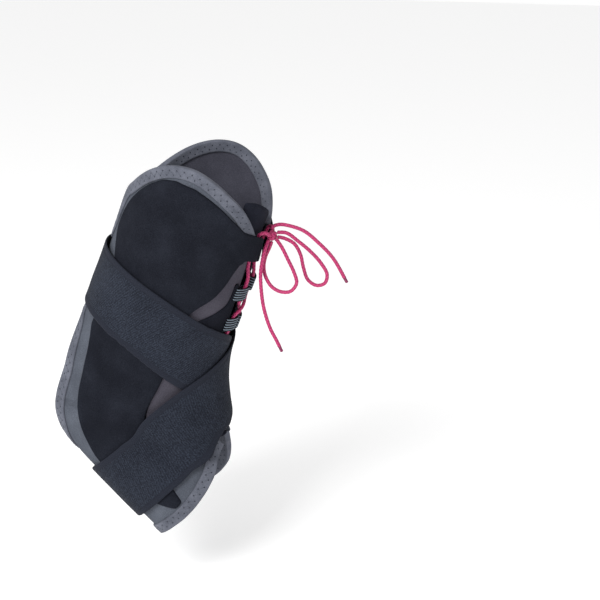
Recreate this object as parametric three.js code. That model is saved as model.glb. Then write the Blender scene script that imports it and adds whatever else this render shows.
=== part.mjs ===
// Lace-up ankle brace for a right foot, in the shape that it has when worn.
// Millimetres, +Z up, +X to the toes, +Y to the medial side; the origin is the ankle joint's centre.
import * as THREE from 'three';

// The foot that the brace is shaped on
const LEG_RISE = 170;
const FOOT_REACH = 110;
const HALF_WIDTH = 40;
const SOLE_DROP = 80;
const SOLE_SLOPE = THREE.MathUtils.degToRad(42);

// Walls, from the foot outwards
const TONGUE_WALL = 1.5;
const LAYER_GAP = 0.73;
const BINDING_LEAF = 0.8;
const SHELL_WALL = 1.8;
const PANEL_WALL = 1.0;
const STRAP_WALL = 1.5;

// Widths along the surface
const BINDING_WIDTH = 6.6;
const STRAP_WIDTH = 49;
const HOOK_TAB_LENGTH = 26;
const HOOK_TAB_WIDTH = 45;
const LOOP_WIDTH = 10;
const LOOP_WALL = 0.8;
const LACE_DIAMETER = 2.6;
const KNOT_LENGTH = 9;
const KNOT_DEPTH = 6.5;

// Heights above the foot that follow from the walls
const BINDING_BASE = TONGUE_WALL + LAYER_GAP;
const SHELL_BASE = BINDING_BASE + BINDING_LEAF + LAYER_GAP;
const SHELL_TOP = SHELL_BASE + SHELL_WALL;
const PANEL_BASE = SHELL_TOP + LAYER_GAP;
const PANEL_TOP = PANEL_BASE + PANEL_WALL;
const TAB_BASE = PANEL_BASE + BINDING_LEAF + LAYER_GAP;
const LACE_RADIUS = LACE_DIAMETER / 2;
const LACE_HEIGHT = SHELL_TOP + LAYER_GAP + LACE_RADIUS;
const LOOP_FLOOR = LACE_HEIGHT - LACE_RADIUS - LAYER_GAP;
const LOOP_CEILING = Math.max(LACE_HEIGHT + LACE_RADIUS, PANEL_TOP) + LAYER_GAP;
const STRAP_BASE = PANEL_TOP + LAYER_GAP;
const STRAP_BASE_ON_SOLE = SHELL_TOP + LAYER_GAP;
const STRAP_STEP = STRAP_WALL + 1.3 * LAYER_GAP;

// Sections across the leg and foot. at runs down from the calf to the instep's end. x is a share of
// FOOT_REACH, z of LEG_RISE above the joint and of SOLE_DROP below it, half of HALF_WIDTH; belly is where
// the section is widest, as a share of its depth from the back; power squares off its back.
const FRONT_POWER = 2.05;
const SECTIONS = [
  { at: -0.08, frontX: -0.085, frontZ: 1.11, backX: -0.85, backZ: 0.91, half: 1.07, belly: 0.5, power: 2.0 },
  { at: 0.00, frontX: -0.035, frontZ: 0.99, backX: -0.79, backZ: 0.78, half: 1.05, belly: 0.5, power: 2.0 },
  { at: 0.13, frontX: 0.075, frontZ: 0.795, backX: -0.69, backZ: 0.575, half: 1.00, belly: 0.5, power: 2.0 },
  { at: 0.26, frontX: 0.185, frontZ: 0.60, backX: -0.57, backZ: 0.375, half: 0.93, belly: 0.5, power: 2.0 },
  { at: 0.39, frontX: 0.30, frontZ: 0.41, backX: -0.455, backZ: 0.17, half: 0.88, belly: 0.48, power: 2.0 },
  { at: 0.51, frontX: 0.40, frontZ: 0.255, backX: -0.355, backZ: -0.05, half: 0.88, belly: 0.46, power: 2.1 },
  { at: 0.62, frontX: 0.525, frontZ: 0.14, backX: -0.30, backZ: -0.475, half: 0.90, belly: 0.43, power: 2.2 },
  { at: 0.71, frontX: 0.645, frontZ: 0.065, backX: -0.18, backZ: -0.875, half: 0.90, belly: 0.38, power: 2.4 },
  { at: 0.79, frontX: 0.735, frontZ: 0.012, backX: 0.165, backZ: -1.0, half: 0.90, belly: 0.32, power: 2.6 },
  { at: 0.87, frontX: 0.83, frontZ: -0.075, backX: 0.565, backZ: -1.0, half: 0.93, belly: 0.3, power: 2.7 },
  { at: 0.95, frontX: 0.945, frontZ: -0.16, backX: 0.98, backZ: -1.0, half: 0.95, belly: 0.3, power: 2.6 },
  { at: 1.05, frontX: 1.09, frontZ: -0.27, backX: 1.35, backZ: -1.0, half: 0.98, belly: 0.3, power: 2.6 },
];

// The edges of the shell. Angles are in degrees round the section: 0 at the front, 90 lateral, 180 behind.
const SHELL_EDGES = [
  { phi: 8, top: 0.150, end: 0.890, medialEnd: 0.872 },
  { phi: 20, top: 0.132, end: 0.918, medialEnd: 0.880 },
  { phi: 30, top: 0.097, end: 0.952, medialEnd: 0.911 },
  { phi: 42, top: 0.061, end: 0.969, medialEnd: 0.943 },
  { phi: 57, top: 0.031, end: 0.975, medialEnd: 0.967 },
  { phi: 75, top: 0.005, end: 0.972, medialEnd: 0.971 },
  { phi: 92, top: -0.005, end: 0.964, medialEnd: 0.964 },
  { phi: 110, top: 0.006, end: 0.956, medialEnd: 0.956 },
  { phi: 130, top: 0.043, end: 0.952, medialEnd: 0.952 },
  { phi: 150, top: 0.106, end: 0.952, medialEnd: 0.952 },
  { phi: 162, top: 0.152, end: 0.955, medialEnd: 0.955 },
  { phi: 170, top: 0.230, end: 0.955, medialEnd: 0.955 },
  { phi: 176, top: 0.267, end: 0.955, medialEnd: 0.955 },
  { phi: 180, top: 0.275, end: 0.955, medialEnd: 0.955 },
];
const LACING_EDGE = [
  { at: 0.13, phi: 20 },
  { at: 0.20, phi: 15 },
  { at: 0.28, phi: 11 },
  { at: 0.37, phi: 8.5 },
  { at: 0.50, phi: 8 },
  { at: 0.75, phi: 8 },
  { at: 0.90, phi: 9 },
];
const HEEL_HOLE = {
  at: 0.70, half: 44, rise: 0.215, drop: 0.10, topPower: 1.4, bottomPower: 2.2, slit: 0.008,
};

// The lateral panel from its top to its tip; the medial one mirrors it
const PANEL_EDGES = [
  { at: 0.033, front: 85, back: 104 },
  { at: 0.043, front: 74, back: 113.5 },
  { at: 0.060, front: 61, back: 122 },
  { at: 0.085, front: 47, back: 131 },
  { at: 0.115, front: 33, back: 139 },
  { at: 0.160, front: 28, back: 148 },
  { at: 0.192, front: 23, back: 152 },
  { at: 0.235, front: 26.5, back: 153.5 },
  { at: 0.270, front: 29, back: 149 },
  { at: 0.310, front: 34, back: 143 },
  { at: 0.360, front: 46, back: 142 },
  { at: 0.430, front: 50, back: 141 },
  { at: 0.500, front: 49, back: 138 },
  { at: 0.575, front: 44, back: 127 },
  { at: 0.645, front: 43, back: 119 },
  { at: 0.700, front: 42, back: 112 },
  { at: 0.770, front: 45, back: 110 },
  { at: 0.820, front: 50, back: 108 },
  { at: 0.870, front: 58, back: 100 },
  { at: 0.920, front: 66, back: 88 },
  { at: 0.946, front: 68, back: 78 },
];
const PANEL_TAB = { top: 0.115, bottom: 0.192, slant: 0.018 };
// Where the front of a panel lies on the binding: how far below the top edge, and how far round
const TAPE_REACH = { from: 0.078, to: 0.095, fromAngle: 48, toAngle: 60 };
const TAB_TIPS = {
  lateral: { top: 10, bottom: 1 },
  medial: { top: 10, bottom: 7 },
};
const FACING_EDGES = [
  { at: 0.270, front: 15, back: 18.8 },
  { at: 0.310, front: 12.5, back: 18.2 },
  { at: 0.335, front: 11.5, back: 19.6 },
  { at: 0.360, front: 11, back: 27 },
  { at: 0.390, front: 11, back: 39 },
  { at: 0.430, front: 11, back: 42 },
  { at: 0.500, front: 11, back: 40 },
  { at: 0.580, front: 11, back: 28 },
  { at: 0.660, front: 11, back: 25 },
  { at: 0.740, front: 11, back: 24 },
  { at: 0.820, front: 11.5, back: 22 },
];
const TONGUE = {
  bottom: 0.870, half: 38, tipAt: 0.820, tipHalf: 7, tipRise: 5,
};
// Its top edge, which lies askew, higher on the lateral side
const TONGUE_TOP = [
  { phi: -38, at: 0.128 },
  { phi: -25, at: 0.109 },
  { phi: -8, at: 0.082 },
  { phi: 10, at: 0.059 },
  { phi: 25, at: 0.044 },
  { phi: 38, at: 0.042 },
];

// The strap's middle line: from the medial sole over the instep, round the leg and back under the sole
const STRAP_ROUTE = [
  { phi: -128, at: 0.868, level: 0 },
  { phi: -100, at: 0.866, level: 0 },
  { phi: -72, at: 0.853, level: 0 },
  { phi: -46, at: 0.828, level: 0 },
  { phi: -25, at: 0.760, level: 0 },
  { phi: -9, at: 0.655, level: 0 },
  { phi: 8, at: 0.556, level: 0 },
  { phi: 28, at: 0.505, level: 0 },
  { phi: 52, at: 0.464, level: 0 },
  { phi: 78, at: 0.432, level: 0 },
  { phi: 106, at: 0.408, level: 0 },
  { phi: 135, at: 0.390, level: 0 },
  { phi: 164, at: 0.382, level: 0 },
  { phi: 196, at: 0.382, level: 0 },
  { phi: 225, at: 0.390, level: 0 },
  { phi: 254, at: 0.408, level: 0 },
  { phi: 282, at: 0.432, level: 0 },
  { phi: 308, at: 0.482, level: 1 },
  { phi: 332, at: 0.540, level: 1 },
  { phi: 352, at: 0.600, level: 1 },
  { phi: 369, at: 0.678, level: 1 },
  { phi: 385, at: 0.765, level: 1 },
  { phi: 406, at: 0.828, level: 0 },
  { phi: 432, at: 0.853, level: 0 },
  { phi: 460, at: 0.867, level: 0 },
  { phi: 490, at: 0.873, level: 0 },
  { phi: 520, at: 0.875, level: 0 },
  { phi: 552, at: 0.873, level: 0 },
  { phi: 575, at: 0.870, level: 1 },
  { phi: 600, at: 0.867, level: 1 },
  { phi: 632, at: 0.860, level: 1 },
];
// Its lower edge spreads where it bends over the instep: the angle, how far round, and how much
const STRAP_SPREAD = { at: 390, half: 10, reach: 6 };
// Past these the strap lies on the shell alone
const SOLE = { fromAngle: 115, toAngle: 140, fromPlace: 0.70, toPlace: 0.80 };

// The webbing loops along each lacing edge
const LOOP_ROWS = [
  { lateralAt: 0.300, medialAt: 0.284, root: 17.5, tip: 3.0 },
  { lateralAt: 0.395, medialAt: 0.403, root: 14.5, tip: 2.5 },
];

// The lace's run down one side and over to the other; the second half mirrors it with the crossings swapped
const LACE_CROSSING = 1.5;
const LACE_RUN = [
  { phi: 4.6, at: 0.128, rise: 1.8, crossing: 0 },
  { phi: 9.2, at: 0.121, rise: -0.4, crossing: 0 },
  { phi: 12.2, at: 0.127, rise: -2.4, crossing: 0 },
  { phi: 12, at: 0.150, rise: -3.2, crossing: 0 },
  { phi: 10.5, at: 0.190, rise: -3.6, crossing: 0 },
  { phi: 8.5, at: 0.228, rise: -2.8, crossing: 0 },
  { phi: 7, at: 0.258, rise: -0.3, crossing: 0 },
  { phi: 7, at: 0.320, rise: 0, crossing: 0 },
  { phi: 0, at: 0.348, rise: 0, crossing: -1 },
  { phi: -7, at: 0.375, rise: 0, crossing: 0 },
  { phi: -7, at: 0.420, rise: -0.3, crossing: 0 },
  { phi: -4.5, at: 0.444, rise: -2.4, crossing: 0 },
];
const LACE_TURN = { at: 0.449, rise: -2.6 };

// The bow hangs from the knot: points in millimetres from the knot's centre
const KNOT_AT = { phi: 0, at: 0.132, rise: 2.3 };
const BOW_CORDS = [
  {
    name: 'bow_loop_front',
    points: [
      [0.3, -0.7, -3.6], [-1, -2, -8], [-3.4, -3.6, -14], [-4.4, -5, -21], [-3, -6, -28],
      [2, -7.4, -35], [9, -8, -38], [16, -8, -37], [20, -7, -31], [18, -6, -24], [13, -4.4, -15],
      [8, -2.4, -7], [3.3, -0.7, -1.6],
    ],
  },
  {
    name: 'bow_loop_back',
    points: [
      [3.3, 2.6, -1.2], [8.6, 3.4, -2.2], [15, 5, -6], [19, 7, -14], [21, 8, -24], [24, 9, -33],
      [30, 10, -37], [36, 10, -35], [38, 9, -28], [34, 8, -20], [27, 7, -12], [18, 5, -4],
      [10, 3, 2], [3.4, 1.5, 2.4],
    ],
  },
  {
    name: 'lace_tail_short',
    points: [
      [-1.2, -3.5, -2.1], [-2.4, -6.6, -6.6], [-3.8, -9, -14], [-5, -10.8, -24], [-4.6, -11.4, -36],
      [-2.6, -11.8, -50], [2, -12.4, -64], [7, -13, -73], [11, -13, -81],
    ],
  },
  {
    name: 'lace_tail_long',
    points: [
      [-0.5, 1.7, 4], [0.6, 2.6, 6.2], [5, 3.8, 7.6], [13, 5.4, 6.4], [22, 7, 3], [32, 8, -5],
      [42, 10, -16], [52, 12, -34],
    ],
  },
];

// Mesh fineness
const SHELL_COLUMNS = [0, 0.045, 0.09, 0.14, 0.20, 0.28, 0.37, 0.46, 0.545, 0.615, 0.68, 0.744];
const HOLE_COLUMNS = [43.3, 41.5, 37, 30, 22, 14, 9, 4, 0];
const SHELL_ROWS_ABOVE = 12;
const SHELL_ROWS_BELOW = 7;
const HEEL_CROWDING = 1.3;
const PANEL_COLUMNS = 8;
const TAB_COLUMNS = 3;
const FACING_COLUMNS = 4;
const FACING_ROWS = 13;
const TONGUE_COLUMNS = 8;
const TONGUE_ROWS = 14;
const STRAP_COLUMNS = 4;
const STRAP_STEP_LENGTH = 9;
const TAB_STEP_LENGTH = 6.5;
const LOOP_STEPS = 2;
const CORD_SIDES = 8;
const LACE_STEPS = 48;
const CORD_STEP = 3.4;
const KNOT_SIDES = 10;
const KNOT_RINGS = 6;

const { clamp, lerp, smoothstep, degToRad, euclideanModulo } = THREE.MathUtils;

// The value of a column at x, on a smooth curve through the rows
function along(rows, key, x, column) {
  const last = rows.length - 1;
  const here = clamp(x, rows[0][key], rows[last][key]);
  let i = 0;
  while (i < last - 1 && here > rows[i + 1][key]) i += 1;
  const width = (k) => rows[k + 1][key] - rows[k][key];
  const slope = (k) => (rows[k + 1][column] - rows[k][column]) / width(k);
  const tangent = (k) => {
    if (k === 0) return slope(0);
    if (k === last) return slope(last - 1);
    return (slope(k - 1) * width(k) + slope(k) * width(k - 1)) / (width(k) + width(k - 1));
  };
  const t = (here - rows[i][key]) / width(i);
  const a = rows[i][column];
  const b = rows[i + 1][column];
  const ma = tangent(i) * width(i);
  const mb = tangent(i + 1) * width(i);
  return a + t * (ma + t * (3 * (b - a) - 2 * ma - mb + t * (2 * (a - b) + ma + mb)));
}

// The value of a column at x, eased from row to row with no overshoot
function stepped(rows, key, x, column) {
  const last = rows.length - 1;
  let i = 0;
  while (i < last - 1 && x > rows[i + 1][key]) i += 1;
  const t = smoothstep(x, rows[i][key], rows[i + 1][key]);
  return lerp(rows[i][column], rows[i + 1][column], t);
}

// A point of the bare foot at an angle round the section and a place down the leg
function footPoint(phi, at) {
  const column = (name) => along(SECTIONS, 'at', at, name);
  const rise = (share) => share * (share > 0 ? LEG_RISE : SOLE_DROP);
  const front = new THREE.Vector2(column('frontX') * FOOT_REACH, rise(column('frontZ')));
  const back = new THREE.Vector2(column('backX') * FOOT_REACH, rise(column('backZ')));
  const depth = front.distanceTo(back);
  const forward = front.clone().sub(back).divideScalar(depth);
  const widest = column('belly');
  const angle = degToRad(phi);
  const cos = Math.cos(angle);
  const sin = Math.sin(angle);
  const power = cos >= 0 ? FRONT_POWER : column('power');
  const reach = (cos >= 0 ? 1 - widest : widest) * depth;
  const half = column('half') * HALF_WIDTH;
  const radius = ((Math.abs(cos) / reach) ** power + (Math.abs(sin) / half) ** power) ** (-1 / power);
  const centre = back.clone().lerp(front, widest).addScaledVector(forward, radius * cos);
  return new THREE.Vector3(
    centre.x * Math.cos(SOLE_SLOPE) + centre.y * Math.sin(SOLE_SLOPE),
    -radius * sin,
    -centre.x * Math.sin(SOLE_SLOPE) + centre.y * Math.cos(SOLE_SLOPE),
  );
}

const ANGLE_NUDGE = 0.4;
const PLACE_NUDGE = 0.002;

// How the foot's surface runs round and down at a point, with its outward normal
function footFrame(phi, at) {
  const round = footPoint(phi + ANGLE_NUDGE, at).sub(footPoint(phi - ANGLE_NUDGE, at));
  round.divideScalar(2 * ANGLE_NUDGE);
  const low = Math.max(at - PLACE_NUDGE, SECTIONS[0].at);
  const down = footPoint(phi, low + 2 * PLACE_NUDGE).sub(footPoint(phi, low));
  down.divideScalar(2 * PLACE_NUDGE);
  const normal = round.clone().cross(down).normalize();
  return { round, down, normal };
}

// A point at a height above the foot
function onFoot({ phi, at }, height) {
  return footPoint(phi, at).addScaledVector(footFrame(phi, at).normal, height);
}

// The place reached by going a distance over the foot, in short steps
function walk(place, direction, distance) {
  const stride = 4;
  const steps = Math.max(1, Math.ceil(Math.abs(distance) / stride));
  let { phi, at } = place;
  for (let i = 0; i < steps; i += 1) {
    const { round, down } = footFrame(phi, at);
    const rr = round.dot(round);
    const rd = round.dot(down);
    const dd = down.dot(down);
    const r = round.dot(direction);
    const d = down.dot(direction);
    const scale = distance / steps / (rr * dd - rd * rd);
    phi += (dd * r - rd * d) * scale;
    at += (rr * d - rd * r) * scale;
  }
  return { phi, at };
}

// A closed body from its points and triangles, with its faces turned outwards
function body(points, triangles) {
  let volume = 0;
  for (const [a, b, c] of triangles) {
    volume += points[a].dot(points[b].clone().cross(points[c]));
  }
  const faces = volume > 0 ? triangles : triangles.map(([a, b, c]) => [a, c, b]);
  const geometry = new THREE.BufferGeometry();
  const positions = points.flatMap((point) => point.toArray());
  geometry.setAttribute('position', new THREE.Float32BufferAttribute(positions, 3));
  geometry.setIndex(faces.flat());
  geometry.computeVertexNormals();
  return geometry;
}

// Two triangles over four corners, split along the shorter diagonal
function split(points, a, b, c, d) {
  const across = points[a].distanceToSquared(points[c]);
  const other = points[b].distanceToSquared(points[d]);
  return across <= other ? [[a, b, c], [a, c, d]] : [[a, b, d], [b, c, d]];
}

// A thick wall on a grid of cells; keep says which cells are there
function wall(rows, columns, place, keep = () => true) {
  const points = [];
  for (let i = 0; i <= rows; i += 1) {
    for (let j = 0; j <= columns; j += 1) {
      const { inner, outer } = place(i, j);
      points.push(inner, outer);
    }
  }
  const corner = (i, j, side) => 2 * (i * (columns + 1) + j) + side;
  const there = (i, j) => i >= 0 && j >= 0 && i < rows && j < columns && keep(i, j);
  const triangles = [];
  const quad = (a, b, c, d) => triangles.push(...split(points, a, b, c, d));
  for (let i = 0; i < rows; i += 1) {
    for (let j = 0; j < columns; j += 1) {
      if (there(i, j)) {
        const cell = [[i, j], [i, j + 1], [i + 1, j + 1], [i + 1, j]];
        const [a, b, c, d] = cell.map(([r, s]) => corner(r, s, 1));
        const [e, f, g, h] = cell.map(([r, s]) => corner(r, s, 0));
        quad(a, b, c, d);
        quad(e, h, g, f);
        if (!there(i - 1, j)) quad(b, a, e, f);
        if (!there(i, j + 1)) quad(c, b, f, g);
        if (!there(i + 1, j)) quad(d, c, g, h);
        if (!there(i, j - 1)) quad(a, d, h, e);
      }
    }
  }
  return body(points, triangles);
}

// A body swept through rings of points, closed on itself or capped at both ends
function sweep(rings, outline, closed) {
  const count = outline.length;
  const points = rings.flat();
  const triangles = [];
  const spans = closed ? rings.length : rings.length - 1;
  for (let k = 0; k < spans; k += 1) {
    const here = k * count;
    const next = ((k + 1) % rings.length) * count;
    for (let m = 0; m < count; m += 1) {
      const n = (m + 1) % count;
      triangles.push(...split(points, here + m, here + n, next + n, next + m));
    }
  }
  if (!closed) {
    const cap = THREE.ShapeUtils.triangulateShape(outline, []);
    const turn = THREE.ShapeUtils.isClockWise(outline) ? 1 : -1;
    const last = (rings.length - 1) * count;
    for (const [a, b, c] of cap) {
      const [p, q] = turn > 0 ? [b, c] : [c, b];
      triangles.push([a, p, q], [last + a, last + q, last + p]);
    }
  }
  return body(points, triangles);
}

function tube(route, diameter, steps) {
  const section = new THREE.Shape();
  for (let i = 0; i < CORD_SIDES; i += 1) {
    const turn = (2 * Math.PI * i) / CORD_SIDES;
    const x = (diameter / 2) * Math.cos(turn);
    const y = (diameter / 2) * Math.sin(turn);
    if (i === 0) section.moveTo(x, y);
    else section.lineTo(x, y);
  }
  section.closePath();
  return new THREE.ExtrudeGeometry(section, { steps, extrudePath: route, curveSegments: 1 });
}

function fabric(color, roughness = 0.9) {
  return new THREE.MeshStandardMaterial({ color, roughness, metalness: 0 });
}

const BASE_FABRIC = fabric(0x504d5a);
const PANEL_FABRIC = fabric(0x1f2129);
const TONGUE_FABRIC = fabric(0x26282f);
const BINDING_TAPE = fabric(0x62666e);
const STRAP_KNIT = fabric(0x2d313c);
const HOOK_TAPE = fabric(0x22242a);
const LOOP_WEBBING = fabric(0x55585f);
const LACE_CORD = fabric(0xa8386a, 0.7);

const brace = new THREE.Group();

function add(name, geometry, material) {
  const mesh = new THREE.Mesh(geometry, material);
  mesh.name = name;
  brace.add(mesh);
  return mesh;
}

const mirrored = ({ phi, at }) => ({ phi: 360 - phi, at });
const foldAngle = (phi) => Math.abs(euclideanModulo(phi + 180, 360) - 180);

// The shell's edges at an angle: its top, the hole's edges and the instep's end
function shellEdge(phi, name) {
  return along(SHELL_EDGES, 'phi', phi, name);
}

function holeEdge(phi, side) {
  const { at, half, rise, drop, topPower, bottomPower, slit } = HEEL_HOLE;
  const share = Math.min((180 - phi) / half, 1);
  if (side < 0) return at - slit - rise * (1 - share ** topPower) ** (1 / topPower);
  return at + slit + drop * (1 - share ** bottomPower) ** (1 / bottomPower);
}

const HOLE_ROW = SHELL_ROWS_ABOVE;
const SHELL_ROWS = SHELL_ROWS_ABOVE + 1 + SHELL_ROWS_BELOW;
const FIRST_ANGLE = Math.min(...LACING_EDGE.map(({ phi }) => phi));
const HALF_COLUMNS = [
  ...SHELL_COLUMNS,
  ...HOLE_COLUMNS.map((angle) => 1 - angle / (180 - FIRST_ANGLE)),
];
const SHELL_SPANS = 2 * (HALF_COLUMNS.length - 1);

// Where a corner of the shell's grid lies on the foot
function shellPlace(i, j) {
  const medial = j >= HALF_COLUMNS.length;
  const share = HALF_COLUMNS[medial ? SHELL_SPANS - j : j];
  let phi = lerp(FIRST_ANGLE, 180, share);
  let at = 0;
  const passes = 8;
  for (let pass = 0; pass < passes; pass += 1) {
    at = i <= HOLE_ROW
      ? lerp(shellEdge(phi, 'top'), holeEdge(phi, -1), i / HOLE_ROW)
      : lerp(
        holeEdge(phi, 1),
        shellEdge(phi, medial ? 'medialEnd' : 'end'),
        ((i - HOLE_ROW - 1) / SHELL_ROWS_BELOW) ** HEEL_CROWDING,
      );
    phi = lerp(along(LACING_EDGE, 'at', at, 'phi'), 180, share);
  }
  return medial ? mirrored({ phi, at }) : { phi, at };
}

const HOLE_START = SHELL_COLUMNS.length - 1;
const HOLE_END = SHELL_SPANS - HOLE_START;
const overHole = (i, j) => i === HOLE_ROW && j >= HOLE_START && j < HOLE_END;

function layer(place, base, thickness) {
  return { inner: onFoot(place, base), outer: onFoot(place, base + thickness) };
}

add('shell', wall(
  SHELL_ROWS,
  SHELL_SPANS,
  (i, j) => layer(shellPlace(i, j), SHELL_BASE, SHELL_WALL),
  (i, j) => !overHole(i, j),
), BASE_FABRIC);

// A binding tape folded over an edge; inward is +1 or -1, the side of the edge that the cloth is on
const TAPE_CLEARANCE = 0.9;
const TAPE_OUTLINE = [
  [BINDING_WIDTH, PANEL_BASE],
  [BINDING_WIDTH, PANEL_BASE + BINDING_LEAF],
  [-TAPE_CLEARANCE, PANEL_BASE + BINDING_LEAF],
  [-TAPE_CLEARANCE - BINDING_LEAF, SHELL_TOP],
  [-TAPE_CLEARANCE - BINDING_LEAF, SHELL_BASE],
  [-TAPE_CLEARANCE, BINDING_BASE],
  [BINDING_WIDTH, BINDING_BASE],
  [BINDING_WIDTH, BINDING_BASE + BINDING_LEAF],
  [-TAPE_CLEARANCE, BINDING_BASE + BINDING_LEAF],
  [-TAPE_CLEARANCE, PANEL_BASE],
].map(([inward, height]) => new THREE.Vector2(inward, height));

function binding(places, inward, closed) {
  const edge = places.map((place) => onFoot(place, SHELL_TOP));
  const rings = places.map((place, k) => {
    const count = places.length;
    const before = edge[closed ? (k + count - 1) % count : Math.max(k - 1, 0)];
    const after = edge[closed ? (k + 1) % count : Math.min(k + 1, count - 1)];
    const tangent = after.clone().sub(before).normalize();
    const side = footFrame(place.phi, place.at).normal.cross(tangent).multiplyScalar(inward);
    return TAPE_OUTLINE.map(({ x, y }) => onFoot(walk(place, side, x), y));
  });
  return sweep(rings, TAPE_OUTLINE, closed);
}

const row = (i) => Array.from({ length: SHELL_SPANS + 1 }, (_, j) => shellPlace(i, j));
add('binding_top', binding(row(0), 1, false), BINDING_TAPE);
add('binding_instep', binding(row(SHELL_ROWS), -1, false), BINDING_TAPE);
add('binding_heel', binding([
  ...row(HOLE_ROW).slice(HOLE_START, HOLE_END + 1),
  ...row(HOLE_ROW + 1).slice(HOLE_START, HOLE_END + 1).reverse(),
], -1, true), BINDING_TAPE);

// The tongue, with its lower tip folded forward
function tongueLayer(i, j) {
  const share = (2 * j) / TONGUE_COLUMNS - 1;
  const phi = share * TONGUE.half;
  const at = lerp(along(TONGUE_TOP, 'phi', phi, 'at'), TONGUE.bottom, i / TONGUE_ROWS);
  const fold = Math.max(0, 1 - (phi / TONGUE.tipHalf) ** 2);
  const base = TONGUE.tipRise * fold * smoothstep(at, TONGUE.tipAt, TONGUE.bottom);
  return layer({ phi, at }, base, TONGUE_WALL);
}
add('tongue', wall(TONGUE_ROWS, TONGUE_COLUMNS, tongueLayer), TONGUE_FABRIC);

// A side panel, with the tab that bridges the lace at its front
function panelGeometry(side, tips) {
  const tabRow = (at) => at >= PANEL_TAB.top && at <= PANEL_TAB.bottom;
  const place = (i, j) => {
    const { at: rowAt, front, back } = PANEL_EDGES[i];
    const at = rowAt + PANEL_TAB.slant * Math.max(0, 1 - j / TAB_COLUMNS);
    const tip = lerp(
      tips.top,
      tips.bottom,
      (rowAt - PANEL_TAB.top) / (PANEL_TAB.bottom - PANEL_TAB.top),
    );
    const phi = j < TAB_COLUMNS
      ? lerp(tip, front, j / TAB_COLUMNS)
      : lerp(front, back, (j - TAB_COLUMNS) / PANEL_COLUMNS);
    const belowTop = smoothstep(at - shellEdge(phi, 'top'), TAPE_REACH.from, TAPE_REACH.to);
    const behind = smoothstep(phi, TAPE_REACH.fromAngle, TAPE_REACH.toAngle);
    const base = lerp(TAB_BASE, PANEL_BASE, Math.max(belowTop, behind));
    return layer(side > 0 ? { phi, at } : mirrored({ phi, at }), base, PANEL_WALL);
  };
  const keep = (i, j) => j >= TAB_COLUMNS || (tabRow(PANEL_EDGES[i].at) && tabRow(PANEL_EDGES[i + 1].at));
  return wall(PANEL_EDGES.length - 1, TAB_COLUMNS + PANEL_COLUMNS, place, keep);
}

function facingGeometry(side) {
  const last = FACING_EDGES.length - 1;
  return wall(FACING_ROWS, FACING_COLUMNS, (i, j) => {
    const at = lerp(FACING_EDGES[0].at, FACING_EDGES[last].at, i / FACING_ROWS);
    const front = along(FACING_EDGES, 'at', at, 'front');
    const back = along(FACING_EDGES, 'at', at, 'back');
    const place = { phi: lerp(front, back, j / FACING_COLUMNS), at };
    return layer(side > 0 ? place : mirrored(place), PANEL_BASE, PANEL_WALL);
  });
}

// A webbing loop stitched on a facing, standing past the lacing edge, with the lace through it;
// leaf is the webbing's wall as an angle round the leg
function loopGeometry({ lateralAt, medialAt, root, tip }, side) {
  const at = side > 0 ? lateralAt : medialAt;
  const edge = along(LACING_EDGE, 'at', at, 'phi');
  const leaf = 1.2;
  const outline = [
    [root, PANEL_TOP + LAYER_GAP],
    [root, PANEL_TOP + LAYER_GAP + LOOP_WALL],
    [edge, LOOP_CEILING + LOOP_WALL],
    [tip + leaf, LOOP_CEILING + LOOP_WALL],
    [tip, LOOP_CEILING],
    [tip, LOOP_FLOOR],
    [tip + leaf, LOOP_FLOOR - LOOP_WALL],
    [edge - leaf, LOOP_FLOOR - LOOP_WALL],
    [edge - leaf, LOOP_FLOOR],
    [tip + leaf, LOOP_FLOOR],
    [tip + leaf, LOOP_CEILING],
    [edge, LOOP_CEILING],
  ].map(([phi, height]) => new THREE.Vector2(phi, height));
  const middle = footFrame(tip, at);
  const down = middle.down.clone().normalize();
  const rings = [];
  for (let k = 0; k <= LOOP_STEPS; k += 1) {
    const offset = LOOP_WIDTH * (k / LOOP_STEPS - 0.5);
    rings.push(outline.map(({ x, y }) => {
      const place = walk({ phi: x, at }, down, offset);
      return onFoot(side > 0 ? place : mirrored(place), y);
    }));
  }
  return sweep(rings, outline, false);
}

for (const [side, name] of [[1, 'lateral'], [-1, 'medial']]) {
  add(`panel_${name}`, panelGeometry(side, TAB_TIPS[name]), PANEL_FABRIC);
  add(`facing_${name}`, facingGeometry(side), PANEL_FABRIC);
  LOOP_ROWS.forEach((loop, k) => {
    add(`lace_loop_${name}_${k + 1}`, loopGeometry(loop, side), LOOP_WEBBING);
  });
}

// The strap lies on the panels, and on the shell under the sole, and steps over itself where it crosses
function strapHeight({ phi, at }, level) {
  const under = smoothstep(foldAngle(phi), SOLE.fromAngle, SOLE.toAngle)
    * smoothstep(at, SOLE.fromPlace, SOLE.toPlace);
  return lerp(STRAP_BASE, STRAP_BASE_ON_SOLE, under) + level * STRAP_STEP;
}

const routeCurve = new THREE.CatmullRomCurve3(
  STRAP_ROUTE.map(({ phi, at }) => new THREE.Vector3(phi / 100, at, 0)),
);

// The strap's route as places with their length from the start
function measuredRoute() {
  const fine = 900;
  let length = 0;
  let previous = null;
  return Array.from({ length: fine + 1 }, (_, k) => {
    const { x, y } = routeCurve.getPoint(k / fine);
    const place = { phi: 100 * x, at: y };
    const point = onFoot(place, STRAP_BASE);
    if (previous) length += point.distanceTo(previous);
    previous = point;
    return { ...place, length, point };
  });
}
const ROUTE = measuredRoute();
const ROUTE_LENGTH = ROUTE[ROUTE.length - 1].length;

function routeAt(length) {
  let k = 1;
  while (k < ROUTE.length - 1 && ROUTE[k].length < length) k += 1;
  const a = ROUTE[k - 1];
  const b = ROUTE[k];
  const t = clamp((length - a.length) / (b.length - a.length), 0, 1);
  return { phi: lerp(a.phi, b.phi, t), at: lerp(a.at, b.at, t), point: a.point.clone().lerp(b.point, t) };
}

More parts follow.
